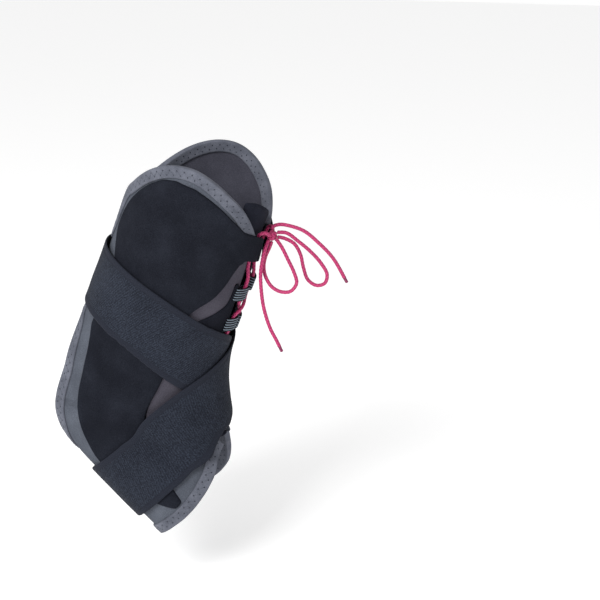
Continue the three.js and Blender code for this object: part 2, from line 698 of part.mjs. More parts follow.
// The strap's stiffness evens out its direction over this length each way
const STRAP_BEND_REACH = 16;

function routeTangent(length) {
  const ahead = routeAt(length + STRAP_BEND_REACH).point;
  return ahead.sub(routeAt(length - STRAP_BEND_REACH).point).normalize();
}

function ribbon(from, to, stepLength, width) {
  const rows = Math.round((to - from) / stepLength);
  return wall(rows, STRAP_COLUMNS, (i, j) => {
    const length = lerp(from, to, i / rows);
    const { phi, at } = routeAt(length);
    const side = routeTangent(length).cross(footFrame(phi, at).normal);
    const share = j / STRAP_COLUMNS - 0.5;
    const spread = STRAP_SPREAD.reach * Math.exp(-(((phi - STRAP_SPREAD.at) / STRAP_SPREAD.half) ** 2));
    const place = walk({ phi, at }, side, width * share + 2 * spread * Math.min(share, 0));
    const level = stepped(STRAP_ROUTE, 'phi', phi, 'level');
    return layer(place, strapHeight(place, level), STRAP_WALL);
  });
}

const JOINT_GAP = 0.3;
const STRAP_LENGTH = ROUTE_LENGTH - HOOK_TAB_LENGTH;
add('strap', ribbon(0, STRAP_LENGTH, STRAP_STEP_LENGTH, STRAP_WIDTH), STRAP_KNIT);
add('strap_hook_tab', ribbon(
  STRAP_LENGTH + JOINT_GAP,
  ROUTE_LENGTH,
  TAB_STEP_LENGTH,
  HOOK_TAB_WIDTH,
), HOOK_TAPE);

// The laced run, from the knot down one side, across at the bottom and up the other
function laceRoute() {
  const half = (turn, swap) => LACE_RUN.map(({ phi, at, rise, crossing }) => (
    onFoot({ phi: phi * turn, at }, LACE_HEIGHT + rise + swap * crossing * LACE_CROSSING)
  ));
  const bottom = onFoot({ phi: 0, at: LACE_TURN.at }, LACE_HEIGHT + LACE_TURN.rise);
  return new THREE.CatmullRomCurve3([...half(1, 1), bottom, ...half(-1, -1).reverse()]);
}
add('lace', tube(laceRoute(), LACE_DIAMETER, LACE_STEPS), LACE_CORD);

// The knot, with its length across the leg, and the loops and tails that hang from it
const knotCentre = onFoot(KNOT_AT, LACE_HEIGHT + KNOT_AT.rise);
const knotBall = new THREE.SphereGeometry(KNOT_LENGTH / 2, KNOT_SIDES, KNOT_RINGS);
knotBall.scale(KNOT_DEPTH / KNOT_LENGTH, 1, KNOT_DEPTH / KNOT_LENGTH);
add('knot', knotBall, LACE_CORD).position.copy(knotCentre);

for (const { name, points } of BOW_CORDS) {
  const route = new THREE.CatmullRomCurve3(points.map((point) => new THREE.Vector3(...point)));
  const steps = Math.round(route.getLength() / (CORD_STEP * LACE_DIAMETER));
  add(name, tube(route, LACE_DIAMETER, steps), LACE_CORD).position.copy(knotCentre);
}

export default brace;
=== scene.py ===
"""A lace-up ankle brace in the shape that it has when worn.

The scene is in metres, +Z up, +X to the toes and +Y to the medial side. The form below is worked out
in millimetres: phi is an angle round the leg and foot (0 in front, 90 lateral, 180 behind), at runs
down from the calf to the instep, and each layer is a height above the foot.
"""
import math
from functools import partialmethod

import bpy
import numpy as np
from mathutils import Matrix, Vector
from mathutils.geometry import delaunay_2d_cdt


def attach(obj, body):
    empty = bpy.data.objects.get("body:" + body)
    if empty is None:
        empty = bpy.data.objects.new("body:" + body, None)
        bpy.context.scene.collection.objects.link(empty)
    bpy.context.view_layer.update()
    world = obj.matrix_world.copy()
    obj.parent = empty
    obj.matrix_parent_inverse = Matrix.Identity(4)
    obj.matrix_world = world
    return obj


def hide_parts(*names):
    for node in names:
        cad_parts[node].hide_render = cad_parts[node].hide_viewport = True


MM = 0.001

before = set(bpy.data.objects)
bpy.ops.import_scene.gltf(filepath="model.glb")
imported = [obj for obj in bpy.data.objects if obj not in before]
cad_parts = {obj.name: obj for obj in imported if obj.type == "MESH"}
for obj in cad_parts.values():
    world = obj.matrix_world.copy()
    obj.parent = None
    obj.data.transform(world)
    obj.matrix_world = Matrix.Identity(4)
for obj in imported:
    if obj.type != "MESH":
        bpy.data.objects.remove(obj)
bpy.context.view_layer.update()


# The camera, at the photograph's angle
LENS = 85.0
SENSOR = 36.0
IMAGE = 600
AZIMUTH = math.radians(15)
ELEVATION = math.radians(18)
ANCHOR = Vector((0, -0.030, 0))
ANCHOR_PIXEL = (120, 358)
ANCHOR_DEPTH = 1.020


def make_camera():
    data = bpy.data.cameras.new("camera")
    data.lens = LENS
    data.sensor_width = SENSOR
    data.clip_end = 20
    camera = bpy.data.objects.new("camera", data)
    bpy.context.scene.collection.objects.link(camera)
    bpy.context.scene.camera = camera
    ca, sa = math.cos(AZIMUTH), math.sin(AZIMUTH)
    ce, se = math.cos(ELEVATION), math.sin(ELEVATION)
    back = Vector((sa * ce, -ca * ce, se))
    right = Vector((ca, sa, 0))
    up = Vector((-sa * se, ca * se, ce))
    per_pixel = SENSOR / LENS / IMAGE * ANCHOR_DEPTH
    across = (ANCHOR_PIXEL[0] - IMAGE / 2) * per_pixel
    above = (IMAGE / 2 - ANCHOR_PIXEL[1]) * per_pixel
    camera.location = ANCHOR + back * ANCHOR_DEPTH - right * across - up * above
    camera.rotation_mode = "QUATERNION"
    camera.rotation_quaternion = (-back).to_track_quat("-Z", "Y")


make_camera()


# Sizes, in millimetres, and angles, in degrees, as the solids have them
LEG_RISE = 170
FOOT_REACH = 110
HALF_WIDTH = 40
SOLE_DROP = 80
SOLE_SLOPE = math.radians(42)
FRONT_POWER = 2.05
TONGUE_WALL = 1.5
LAYER_GAP = 0.73
BINDING_LEAF = 0.8
SHELL_WALL = 1.8
PANEL_WALL = 1.0
STRAP_WALL = 1.5
BINDING_WIDTH = 6.6
STRAP_WIDTH = 49
HOOK_TAB_LENGTH = 26
HOOK_TAB_WIDTH = 45
LOOP_WIDTH = 10
LOOP_WALL = 0.8
LACE_DIAMETER = 2.6
KNOT_LENGTH = 9
KNOT_DEPTH = 6.5
TAPE_CLEARANCE = 0.9

BINDING_BASE = TONGUE_WALL + LAYER_GAP
SHELL_BASE = BINDING_BASE + BINDING_LEAF + LAYER_GAP
SHELL_TOP = SHELL_BASE + SHELL_WALL
PANEL_BASE = SHELL_TOP + LAYER_GAP
PANEL_TOP = PANEL_BASE + PANEL_WALL
TAB_BASE = PANEL_BASE + BINDING_LEAF + LAYER_GAP
LACE_RADIUS = LACE_DIAMETER / 2
LACE_HEIGHT = SHELL_TOP + LAYER_GAP + LACE_RADIUS
LOOP_FLOOR = LACE_HEIGHT - LACE_RADIUS - LAYER_GAP
LOOP_CEILING = max(LACE_HEIGHT + LACE_RADIUS, PANEL_TOP) + LAYER_GAP
STRAP_BASE = PANEL_TOP + LAYER_GAP
STRAP_BASE_ON_SOLE = SHELL_TOP + LAYER_GAP
STRAP_STEP = STRAP_WALL + 1.3 * LAYER_GAP
SEAT = 0.12


def columns(names, rows):
    return dict(zip(names.split(), np.array(rows, float).T))


SECTIONS = columns("at front_x front_z back_x back_z half belly power", [
    (-0.08, -0.085, 1.11, -0.85, 0.91, 1.07, 0.50, 2.0),
    (0.00, -0.035, 0.99, -0.79, 0.78, 1.05, 0.50, 2.0),
    (0.13, 0.075, 0.795, -0.69, 0.575, 1.00, 0.50, 2.0),
    (0.26, 0.185, 0.60, -0.57, 0.375, 0.93, 0.50, 2.0),
    (0.39, 0.30, 0.41, -0.455, 0.17, 0.88, 0.48, 2.0),
    (0.51, 0.40, 0.255, -0.355, -0.05, 0.88, 0.46, 2.1),
    (0.62, 0.525, 0.14, -0.30, -0.475, 0.90, 0.43, 2.2),
    (0.71, 0.645, 0.065, -0.18, -0.875, 0.90, 0.38, 2.4),
    (0.79, 0.735, 0.012, 0.165, -1.0, 0.90, 0.32, 2.6),
    (0.87, 0.83, -0.075, 0.565, -1.0, 0.93, 0.30, 2.7),
    (0.95, 0.945, -0.16, 0.98, -1.0, 0.95, 0.30, 2.6),
    (1.05, 1.09, -0.27, 1.35, -1.0, 0.98, 0.30, 2.6),
])
SHELL_EDGES = columns("phi top end medial_end", [
    (8, 0.150, 0.890, 0.872),
    (20, 0.132, 0.918, 0.880),
    (30, 0.097, 0.952, 0.911),
    (42, 0.061, 0.969, 0.943),
    (57, 0.031, 0.975, 0.967),
    (75, 0.005, 0.972, 0.971),
    (92, -0.005, 0.964, 0.964),
    (110, 0.006, 0.956, 0.956),
    (130, 0.043, 0.952, 0.952),
    (150, 0.106, 0.952, 0.952),
    (162, 0.152, 0.955, 0.955),
    (170, 0.230, 0.955, 0.955),
    (176, 0.267, 0.955, 0.955),
    (180, 0.275, 0.955, 0.955),
])
LACING_EDGE = columns("at phi", [
    (0.13, 20), (0.20, 15), (0.28, 11), (0.37, 8.5), (0.50, 8), (0.75, 8), (0.90, 9),
])
HEEL_HOLE = dict(at=0.70, half=44, rise=0.215, drop=0.10, top_power=1.4, bottom_power=2.2, slit=0.008)
PANEL_EDGES = columns("at front back", [
    (0.033, 85, 104), (0.043, 74, 113.5), (0.060, 61, 122), (0.085, 47, 131), (0.115, 33, 139),
    (0.160, 28, 148), (0.192, 23, 152), (0.235, 26.5, 153.5), (0.270, 29, 149), (0.310, 34, 143),
    (0.360, 46, 142), (0.430, 50, 141), (0.500, 49, 138), (0.575, 44, 127), (0.645, 43, 119),
    (0.700, 42, 112), (0.770, 45, 110), (0.820, 50, 108), (0.870, 58, 100), (0.920, 66, 88),
    (0.946, 68, 78),
])
PANEL_TAB = dict(top=0.115, bottom=0.192, slant=0.018)
TAPE_REACH = dict(start=0.078, stop=0.095, start_angle=48, stop_angle=60)
TAB_TIPS = {"lateral": (10, 1), "medial": (10, 7)}
FACING_EDGES = columns("at front back", [
    (0.270, 15, 18.8), (0.310, 12.5, 18.2), (0.335, 11.5, 19.6), (0.360, 11, 27), (0.390, 11, 39),
    (0.430, 11, 42), (0.500, 11, 40), (0.580, 11, 28), (0.660, 11, 25), (0.740, 11, 24),
    (0.820, 11.5, 22),
])
TONGUE = dict(bottom=0.870, half=38, tip_at=0.820, tip_half=7, tip_rise=5)
TONGUE_TOP = columns("phi at", [
    (-38, 0.128), (-25, 0.109), (-8, 0.082), (10, 0.059), (25, 0.044), (38, 0.042),
])
STRAP_ROUTE = columns("phi at level", [
    (-128, 0.868, 0), (-100, 0.866, 0), (-72, 0.853, 0), (-46, 0.828, 0), (-25, 0.760, 0),
    (-9, 0.655, 0), (8, 0.556, 0), (28, 0.505, 0), (52, 0.464, 0), (78, 0.432, 0),
    (106, 0.408, 0), (135, 0.390, 0), (164, 0.382, 0), (196, 0.382, 0), (225, 0.390, 0),
    (254, 0.408, 0), (282, 0.432, 0), (308, 0.482, 1), (332, 0.540, 1), (352, 0.600, 1),
    (369, 0.678, 1), (385, 0.765, 1), (406, 0.828, 0), (432, 0.853, 0), (460, 0.867, 0),
    (490, 0.873, 0), (520, 0.875, 0), (552, 0.873, 0), (575, 0.870, 1), (600, 0.867, 1),
    (632, 0.860, 1),
])
STRAP_SPREAD = dict(at=390, half=10, reach=6)
STRAP_BEND_REACH = 16
SOLE = dict(start_angle=115, stop_angle=140, start_place=0.70, stop_place=0.80)
LOOP_ROWS = [(0.300, 0.284, 17.5, 3.0), (0.395, 0.403, 14.5, 2.5)]
LACE_CROSSING = 1.5
LACE_RUN = columns("phi at rise crossing", [
    (4.6, 0.128, 1.8, 0), (9.2, 0.121, -0.4, 0), (12.2, 0.127, -2.4, 0), (12, 0.150, -3.2, 0),
    (10.5, 0.190, -3.6, 0), (8.5, 0.228, -2.8, 0), (7, 0.258, -0.3, 0), (7, 0.320, 0, 0),
    (0, 0.348, 0, -1), (-7, 0.375, 0, 0), (-7, 0.420, -0.3, 0), (-4.5, 0.444, -2.4, 0),
])
LACE_TURN = (0.449, -2.6)
KNOT_AT = (0, 0.132, 2.3)
BOW_LOOP_FRONT = [
    (0.3, -0.7, -3.6), (-1, -2, -8), (-3.4, -3.6, -14), (-4.4, -5, -21), (-3, -6, -28),
    (2, -7.4, -35), (9, -8, -38), (16, -8, -37), (20, -7, -31), (18, -6, -24), (13, -4.4, -15),
    (8, -2.4, -7), (3.3, -0.7, -1.6),
]
BOW_LOOP_BACK = [
    (3.3, 2.6, -1.2), (8.6, 3.4, -2.2), (15, 5, -6), (19, 7, -14), (21, 8, -24), (24, 9, -33),
    (30, 10, -37), (36, 10, -35), (38, 9, -28), (34, 8, -20), (27, 7, -12), (18, 5, -4),
    (10, 3, 2), (3.4, 1.5, 2.4),
]
LACE_TAIL_SHORT = [
    (-1.2, -3.5, -2.1), (-2.4, -6.6, -6.6), (-3.8, -9, -14), (-5, -10.8, -24), (-4.6, -11.4, -36),
    (-2.6, -11.8, -50), (2, -12.4, -64), (7, -13, -73), (11, -13, -81),
]
LACE_TAIL_LONG = [
    (-0.5, 1.7, 4), (0.6, 2.6, 6.2), (5, 3.8, 7.6), (13, 5.4, 6.4), (22, 7, 3), (32, 8, -5),
    (42, 10, -16), (52, 12, -34),
]


# The form of the foot, as the solids have it
def along(table, x, column, key="at"):
    """The value of a column at x, on a smooth curve through the table's rows."""
    xs, ys = table[key], table[column]
    width = np.diff(xs)
    slope = np.diff(ys) / width
    tangent = np.concatenate([
        slope[:1],
        (slope[:-1] * width[1:] + slope[1:] * width[:-1]) / (width[1:] + width[:-1]),
        slope[-1:],
    ])
    here = np.clip(x, xs[0], xs[-1])
    i = np.clip(np.searchsorted(xs, here) - 1, 0, len(xs) - 2)
    t = (here - xs[i]) / width[i]
    a, b = ys[i], ys[i + 1]
    ma, mb = tangent[i] * width[i], tangent[i + 1] * width[i]
    return a + t * (ma + t * (3 * (b - a) - 2 * ma - mb + t * (2 * (a - b) + ma + mb)))


def smooth(x, low, high):
    t = np.clip((x - low) / (high - low), 0, 1)
    return t * t * (3 - 2 * t)


def mix(a, b, t):
    return a + (b - a) * t


def stepped(table, x, column, key):
    xs, ys = table[key], table[column]
    i = np.clip(np.searchsorted(xs, x) - 1, 0, len(xs) - 2)
    return mix(ys[i], ys[i + 1], smooth(x, xs[i], xs[i + 1]))


def unit(v):
    return v / np.maximum(np.linalg.norm(v, axis=-1, keepdims=True), 1e-12)


def dot(a, b):
    return (a * b).sum(-1)


def pair(a, b):
    """Two values for each place, side by side."""
    return np.stack(np.broadcast_arrays(a, b), -1)


def on_side(side, phi):
    """An angle of the lateral side, or its mirror image on the medial one."""
    return phi if side > 0 else 360 - phi


def foot_point(phi, at):
    phi, at = np.broadcast_arrays(np.asarray(phi, float), np.asarray(at, float))

    def column(name):
        return along(SECTIONS, at, name)

    def rise(share):
        return share * np.where(share > 0, LEG_RISE, SOLE_DROP)

    front = np.stack([column("front_x") * FOOT_REACH, rise(column("front_z"))], -1)
    back = np.stack([column("back_x") * FOOT_REACH, rise(column("back_z"))], -1)
    depth = np.linalg.norm(front - back, axis=-1)
    forward = (front - back) / depth[..., None]
    belly = column("belly")
    angle = np.radians(phi)
    cos, sin = np.cos(angle), np.sin(angle)
    power = np.where(cos >= 0, FRONT_POWER, column("power"))
    reach = np.where(cos >= 0, 1 - belly, belly) * depth
    half = column("half") * HALF_WIDTH
    radius = ((np.abs(cos) / reach) ** power + (np.abs(sin) / half) ** power) ** (-1 / power)
    centre = mix(back, front, belly[..., None]) + forward * (radius * cos)[..., None]
    x, z = centre[..., 0], centre[..., 1]
    c, s = math.cos(SOLE_SLOPE), math.sin(SOLE_SLOPE)
    return np.stack([x * c + z * s, -radius * sin, -x * s + z * c], -1)


ANGLE_NUDGE = 0.4
PLACE_NUDGE = 0.002


def foot_frame(phi, at):
    """How the foot's surface runs round and down at a point, with its outward normal."""
    phi, at = np.broadcast_arrays(np.asarray(phi, float), np.asarray(at, float))
    turn = (foot_point(phi + ANGLE_NUDGE, at) - foot_point(phi - ANGLE_NUDGE, at)) / (2 * ANGLE_NUDGE)
    low = np.maximum(at - PLACE_NUDGE, SECTIONS["at"][0])
    down = (foot_point(phi, low + 2 * PLACE_NUDGE) - foot_point(phi, low)) / (2 * PLACE_NUDGE)
    return turn, down, unit(np.cross(turn, down))


def on_foot(phi, at, height):
    normal = foot_frame(phi, at)[2]
    return foot_point(phi, at) + normal * np.asarray(height, float)[..., None]


def walk(phi, at, direction, distance):
    """The place reached by going a distance over the foot, in short steps."""
    stride = 4.0
    phi, at, distance = (np.array(a, float) for a in np.broadcast_arrays(phi, at, distance))
    steps = max(1, math.ceil(np.abs(distance).max() / stride))
    for _ in range(steps):
        turn, down, _ = foot_frame(phi, at)
        rr, rd, dd = dot(turn, turn), dot(turn, down), dot(down, down)
        r, d = dot(turn, direction), dot(down, direction)
        scale = distance / steps / (rr * dd - rd * rd)
        phi = phi + (dd * r - rd * d) * scale
        at = at + (rr * d - rd * r) * scale
    return phi, at


def catmull(points, samples):
    """Points on the centripetal curve through the given ones, evenly spaced in its own parameter."""
    p = np.array(points, float)
    p = np.concatenate([[2 * p[0] - p[1]], p, [2 * p[-1] - p[-2]]])
    spans = len(p) - 3
    t = np.linspace(0, spans, samples)
    i = np.minimum(t.astype(int), spans - 1)
    w = (t - i)[:, None]
    p0, p1, p2, p3 = p[i], p[i + 1], p[i + 2], p[i + 3]
    d0, d1, d2 = (np.linalg.norm(b - a, axis=1)[:, None] ** 0.5 for a, b in ((p0, p1), (p1, p2), (p2, p3)))
    m1 = ((p1 - p0) / d0 - (p2 - p0) / (d0 + d1) + (p2 - p1) / d1) * d1
    m2 = ((p2 - p1) / d1 - (p3 - p1) / (d1 + d2) + (p3 - p2) / d2) * d1
    c2 = -3 * p1 + 3 * p2 - 2 * m1 - m2
    c3 = 2 * p1 - 2 * p2 + m1 + m2
    return p1 + w * (m1 + w * (c2 + w * c3))


def lengths(points):
    return np.concatenate([[0], np.cumsum(np.linalg.norm(np.diff(points, axis=0), axis=1))])


def resample(points, step):
    """The same line with evenly spaced points."""
    s = lengths(points)
    n = max(2, round(s[-1] / step) + 1)
    here = np.linspace(0, s[-1], n)
    return np.stack([np.interp(here, s, points[:, k]) for k in range(points.shape[1])], -1)


# Materials, from nodes alone; each reads the map named cloth, which is in millimetres along the surface
MAP = "cloth"


def srgb(r, g, b):
    def linear(v):
        v /= 255
        return v / 12.92 if v <= 0.04045 else ((v + 0.055) / 1.055) ** 2.4
    return (linear(r), linear(g), linear(b), 1.0)


BLACK = (0, 0, 0, 1)
WHITE = (1, 1, 1, 1)


def add_node(tree, kind, inputs=(), **settings):
    """A node with its settings; its inputs, by name or number, are values, sockets or fields."""
    node = tree.nodes.new(kind)
    for key, value in settings.items():
        setattr(node, key, value)
    for key, value in dict(inputs).items():
        value = value.socket if isinstance(value, Field) else value
        if isinstance(value, bpy.types.NodeSocket):
            tree.links.new(value, node.inputs[key])
        else:
            node.inputs[key].default_value = value
    return node


class Field:
    """A number that varies over a surface, as a socket of a node tree."""

    def __init__(self, tree, socket):
        self.tree, self.socket = tree, socket

    def node(self, operation, *values):
        """This field, and others or numbers, through one kind of Math node."""
        node = add_node(self.tree, "ShaderNodeMath", enumerate((self, *values)), operation=operation)
        return Field(self.tree, node.outputs[0])

    def ease(self, low, high, start=0.0, stop=1.0):
        node = add_node(
            self.tree, "ShaderNodeMapRange",
            {"Value": self, "From Min": low, "From Max": high, "To Min": start, "To Max": stop},
            interpolation_type="SMOOTHSTEP",
        )
        return Field(self.tree, node.outputs[0])


for method, operation in (
    ("__add__", "ADD"), ("__sub__", "SUBTRACT"), ("__mul__", "MULTIPLY"), ("over", "DIVIDE"),
    ("size", "ABSOLUTE"), ("share", "FRACT"), ("sine", "SINE"), ("most", "MAXIMUM"),
):
    setattr(Field, method, partialmethod(Field.node, operation))


class Look:
    """One fabric: a Principled shader with its colour and bump made from fields."""

    def __init__(self, name, roughness=0.9, specular=0.2, sheen=0.15):
        self.material = bpy.data.materials.new(name)
        self.material.use_nodes = True
        self.tree = self.material.node_tree
        self.shader = self.tree.nodes["Principled BSDF"]
        for key, value in (
            ("Roughness", roughness), ("Specular IOR Level", specular), ("Sheen Weight", sheen),
            ("Sheen Roughness", 0.5),
        ):
            self.shader.inputs[key].default_value = value
        self.uv = add_node(self.tree, "ShaderNodeUVMap", uv_map=MAP).outputs[0]
        split = add_node(self.tree, "ShaderNodeSeparateXYZ", {0: self.uv})
        self.u, self.v = (Field(self.tree, split.outputs[k]) for k in (0, 1))
        self.place = add_node(self.tree, "ShaderNodeTexCoord").outputs["Object"]

    def noise(self, per_mm, detail=2.0, flat=False, stretch=None):
        """Noise with about so many blobs to the millimetre, in space or on the cloth."""
        source = self.uv if flat else self.place
        if stretch:
            source = add_node(self.tree, "ShaderNodeMapping", {0: source, "Scale": stretch}).outputs[0]
        node = add_node(self.tree, "ShaderNodeTexNoise", {
            "Vector": source, "Scale": per_mm if flat else per_mm / MM, "Detail": detail,
        })
        return Field(self.tree, node.outputs["Fac"])

    def stitches(self, width, height, gap=0.12, softness=0.5):
        """Knit stitches in offset rows: their random tints, black in the gaps between them as painted
        shade, and how deep the gaps between them are.
        """
        node = add_node(self.tree, "ShaderNodeTexBrick", {
            "Vector": self.uv, "Scale": 1.0, "Brick Width": width, "Row Height": height,
            "Mortar Size": gap, "Mortar Smooth": softness,
            "Color1": BLACK, "Color2": WHITE, "Mortar": BLACK,
        })
        return Field(self.tree, node.outputs["Color"]), Field(self.tree, node.outputs["Fac"])

    def blend(self, amount, low, high):
        """A colour between two, which may be colours or earlier blends."""
        mix_node = add_node(self.tree, "ShaderNodeMix", {0: amount, 6: low, 7: high}, data_type="RGBA")
        return mix_node.outputs[2]

    def colour(self, value):
        self.tree.links.new(value, self.shader.inputs["Base Color"])

    def bump(self, field, depth):
        """A relief that is so many millimetres deep."""
        inputs = {"Height": field, "Strength": 1.0, "Distance": depth * MM}
        node = add_node(self.tree, "ShaderNodeBump", inputs)
        self.tree.links.new(node.outputs[0], self.shader.inputs["Normal"])


TURN = 2 * math.pi
HEM = 4.6


def woven(name, dark, light, thread=0.55, specular=0.06, sheen=0.0, fuzz=0.5):
    """A matt close weave with soft mottling."""
    look = Look(name, roughness=0.95, specular=specular, sheen=sheen)
    weave = (look.u * (TURN / thread)).sine() * (look.v * (TURN / thread)).sine()
    mottle = look.noise(0.05, 3.0)
    grain = look.noise(1.6, 2.0)
    lint = look.noise(0.55, 4.0).ease(0.70, 0.78)
    tint = (mottle * 0.5 + grain * 0.6 + lint * 0.25).ease(0.35, 0.95)
    look.colour(look.blend(tint, dark, light))
    look.bump(weave * 0.5 + grain * fuzz, 0.10)
    return look.material


STITCH_PITCH = 6.0
STITCH_ROWS = (1.5, 4.3)


def binding_look():
    """Ribbed tape with two offset rows of needle holes, painted darker as shade in the holes."""
    look = Look("binding_tape", roughness=0.9, specular=0.12, sheen=0.04)
    hole = 0.66
    rib = (look.v * (TURN / 0.9)).sine()
    grain = look.noise(1.4, 2.0)
    mottle = look.noise(0.10, 3.0)

    def holes(shift, row):
        along_edge = ((look.v.over(STITCH_PITCH) + shift).share() - 0.5) * STITCH_PITCH
        across = look.u - row
        return (along_edge * along_edge + across * across).ease(hole * hole * 0.25, hole * hole, 1, 0)

    pricks_and_shade = holes(0.5, STITCH_ROWS[0]).most(holes(0.0, STITCH_ROWS[1]))
    base = look.blend(
        (mottle * 0.7 + grain * 0.5).ease(0.3, 0.9), srgb(76, 79, 89), srgb(108, 111, 122),
    )
    # The needle holes are pressed in by the bump and painted darker: the dark colour is painted shade in
    # the holes.
    look.colour(look.blend(pricks_and_shade, base, srgb(44, 47, 56)))
    look.bump(rib * 0.25 + grain * 0.5 - pricks_and_shade * 1.6, 0.14)
    return look.material


def strap_look():
    """Heathered elastic knit in fine slanting ribs, with smooth hems."""
    look = Look("strap_knit", roughness=0.92, specular=0.10, sheen=0.03)
    tint, gap = look.stitches(1.05, 0.72, gap=0.08)
    slant = look.v + look.u * 0.35
    rib = (slant * (TURN / 1.7)).sine()
    speck = look.noise(1.15, 2.0, flat=True, stretch=(1.0, 1.5, 1.0))
    patches = look.noise(0.035, 2.0)
    hem = look.u.size().ease(STRAP_WIDTH / 2 - HEM - 0.3, STRAP_WIDTH / 2 - HEM + 0.3)
    # The stitch tints go black in the gaps between the stitches: painted shade between the stitches.
    heather = (tint * 0.35 + speck * 0.85 + rib * 0.08 + patches * 0.35).ease(0.40, 1.30)
    knit = look.blend(heather, srgb(24, 27, 36), srgb(58, 64, 77))
    fine = (look.v * (TURN / 0.6)).sine()
    smooth_hem = look.blend(speck.ease(0.3, 0.7), srgb(29, 32, 41), srgb(41, 44, 54))
    look.colour(look.blend(hem, knit, smooth_hem))
    body = gap * -0.6 + tint * 0.35 + rib * 0.35
    look.bump(body * (hem * -1.0 + 1.0) + fine * hem * 0.15 + speck * 0.15, 0.16)
    return look.material


def hook_look():
    look = Look("hook_tape", roughness=0.75, specular=0.25, sheen=0.0)
    pegs = (look.u * (TURN / 1.6)).sine() * (look.v * (TURN / 1.6)).sine()
    grain = look.noise(1.8, 2.0)
    look.colour(look.blend(grain.ease(0.3, 0.7), srgb(22, 24, 28), srgb(44, 46, 52)))
    look.bump(pegs * 0.8 + grain * 0.5, 0.3)
    return look.material


STRIPE_PITCH = 2.0


def webbing_look():
    """Black webbing with light ribs along it."""
    look = Look("loop_webbing", roughness=0.8, specular=0.15, sheen=0.0)
    rib = (look.u * (TURN / STRIPE_PITCH)).sine()
    pick = (look.v * (TURN / 0.7)).sine()
    grain = look.noise(1.5, 1.0)
    stripe = (rib + pick * 0.15 + grain * 0.4).ease(0.55, 1.15)
    look.colour(look.blend(stripe, srgb(20, 22, 29), srgb(126, 139, 151)))
    look.bump(rib * 0.7 + pick * 0.3, 0.2)
    return look.material


BRAID_STRANDS = 6.0
BRAID_PITCH = 2.6


def cord_look():
    """A braided cord: u is the share of the way round, in turns, and v the millimetres along it."""
    look = Look("lace_cord", roughness=0.55, specular=0.4, sheen=0.1)
    round_it, down_it = look.u * (TURN * BRAID_STRANDS / 2), look.v * (TURN / BRAID_PITCH)
    braid = (round_it + down_it).sine().most((round_it - down_it).sine())
    grain = look.noise(0.9, 2.0)
    # The colour is a little lighter on the braid's crests: painted highlight on the strands.
    tint = (braid * 0.25 + grain * 0.9).ease(0.25, 0.95)
    look.colour(look.blend(tint, srgb(156, 32, 88), srgb(206, 58, 116)))
    look.bump(braid, 0.09)
    return look.material


def tip_look():
    look = Look("lace_tip", roughness=0.4, specular=0.5, sheen=0.0)
    grain = look.noise(1.2, 2.0)
    look.colour(look.blend(grain, srgb(96, 20, 58), srgb(150, 40, 92)))
    look.bump(grain, 0.08)
    return look.material


def thread_look(name, dark, light):
    look = Look(name, roughness=0.8, specular=0.1, sheen=0.0)
    twist = (look.u * TURN + look.v * (TURN / 0.8)).sine()
    # The colour runs light on the twist's ridges and dark in its grooves: painted light and shade along
    # the twist.
    look.colour(look.blend(twist.ease(-1, 1), dark, light))
    look.bump(twist, 0.05)
    return look.material


BASE_CLOTH = woven("base_cloth", srgb(67, 65, 74), srgb(91, 88, 98), 0.6)
EDGE_CLOTH = woven("edge_cloth", srgb(74, 78, 87), srgb(102, 107, 117), 0.6)
LINING = woven("lining_cloth", srgb(60, 60, 69), srgb(84, 84, 95), 0.8)
PANEL_CLOTH = woven("panel_cloth", srgb(22, 24, 31), srgb(42, 45, 54), 0.5, fuzz=0.8)
FACING_CLOTH = woven("facing_cloth", srgb(20, 21, 28), srgb(38, 40, 49), 0.5)
TONGUE_CLOTH = woven("tongue_cloth", srgb(26, 28, 37), srgb(46, 48, 59), 0.7)
BINDING_TAPE = binding_look()
STRAP_KNIT = strap_look()
HOOK_TAPE = hook_look()
LOOP_WEBBING = webbing_look()
LACE_CORD = cord_look()
LACE_TIP = tip_look()
GREY_THREAD = thread_look("grey_thread", srgb(84, 88, 98), srgb(116, 120, 131))
DARK_THREAD = thread_look("dark_thread", srgb(22, 24, 31), srgb(50, 53, 62))


# Meshes
def make_object(name, points, faces, uv, materials, stands_for=(), face_material=None):
    """A piece from points in millimetres, faces as vertex numbers, and a map value for each corner."""
    mesh = bpy.data.meshes.new(name)
    mesh.from_pydata((np.asarray(points) * MM).tolist(), [], faces)
    layer = mesh.uv_layers.new(name=MAP)
    layer.data.foreach_set("uv", np.asarray(uv, np.float32).ravel())
    for material in materials:
        mesh.materials.append(material)
    if face_material is not None:
        mesh.polygons.foreach_set("material_index", np.asarray(face_material, np.int32))
    mesh.polygons.foreach_set("use_smooth", np.ones(len(mesh.polygons), bool))
    mesh.update()
    piece = bpy.data.objects.new(name, mesh)
    bpy.context.scene.collection.objects.link(piece)
    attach(piece, "root")
    if stands_for:
        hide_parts(*stands_for)
    return piece


def outward(points, faces):
    """The faces turned so that the body's volume is positive."""
    tri = np.array([[f[0], f[k], f[k + 1]] for f in faces for k in range(1, len(f) - 1)])
    a, b, c = (points[tri[:, k]] for k in range(3))
    return faces if dot(a, np.cross(b, c)).sum() > 0 else [f[::-1] for f in faces]


def make_used(name, over, under, faces, uv, materials, stands_for, face_material=None):
    """A piece from two layers of points with one map, without the points that no face uses."""
    points = np.concatenate([over, under])
    faces = np.array(outward(points, faces))
    used = np.unique(faces)
    renumber = np.zeros(len(points), int)
    renumber[used] = np.arange(len(used))
    faces = renumber[faces]
    loops = np.concatenate([uv, uv])[used][faces.ravel()]
    return make_object(
        name, points[used], faces.tolist(), loops, materials, stands_for, face_material,
    )


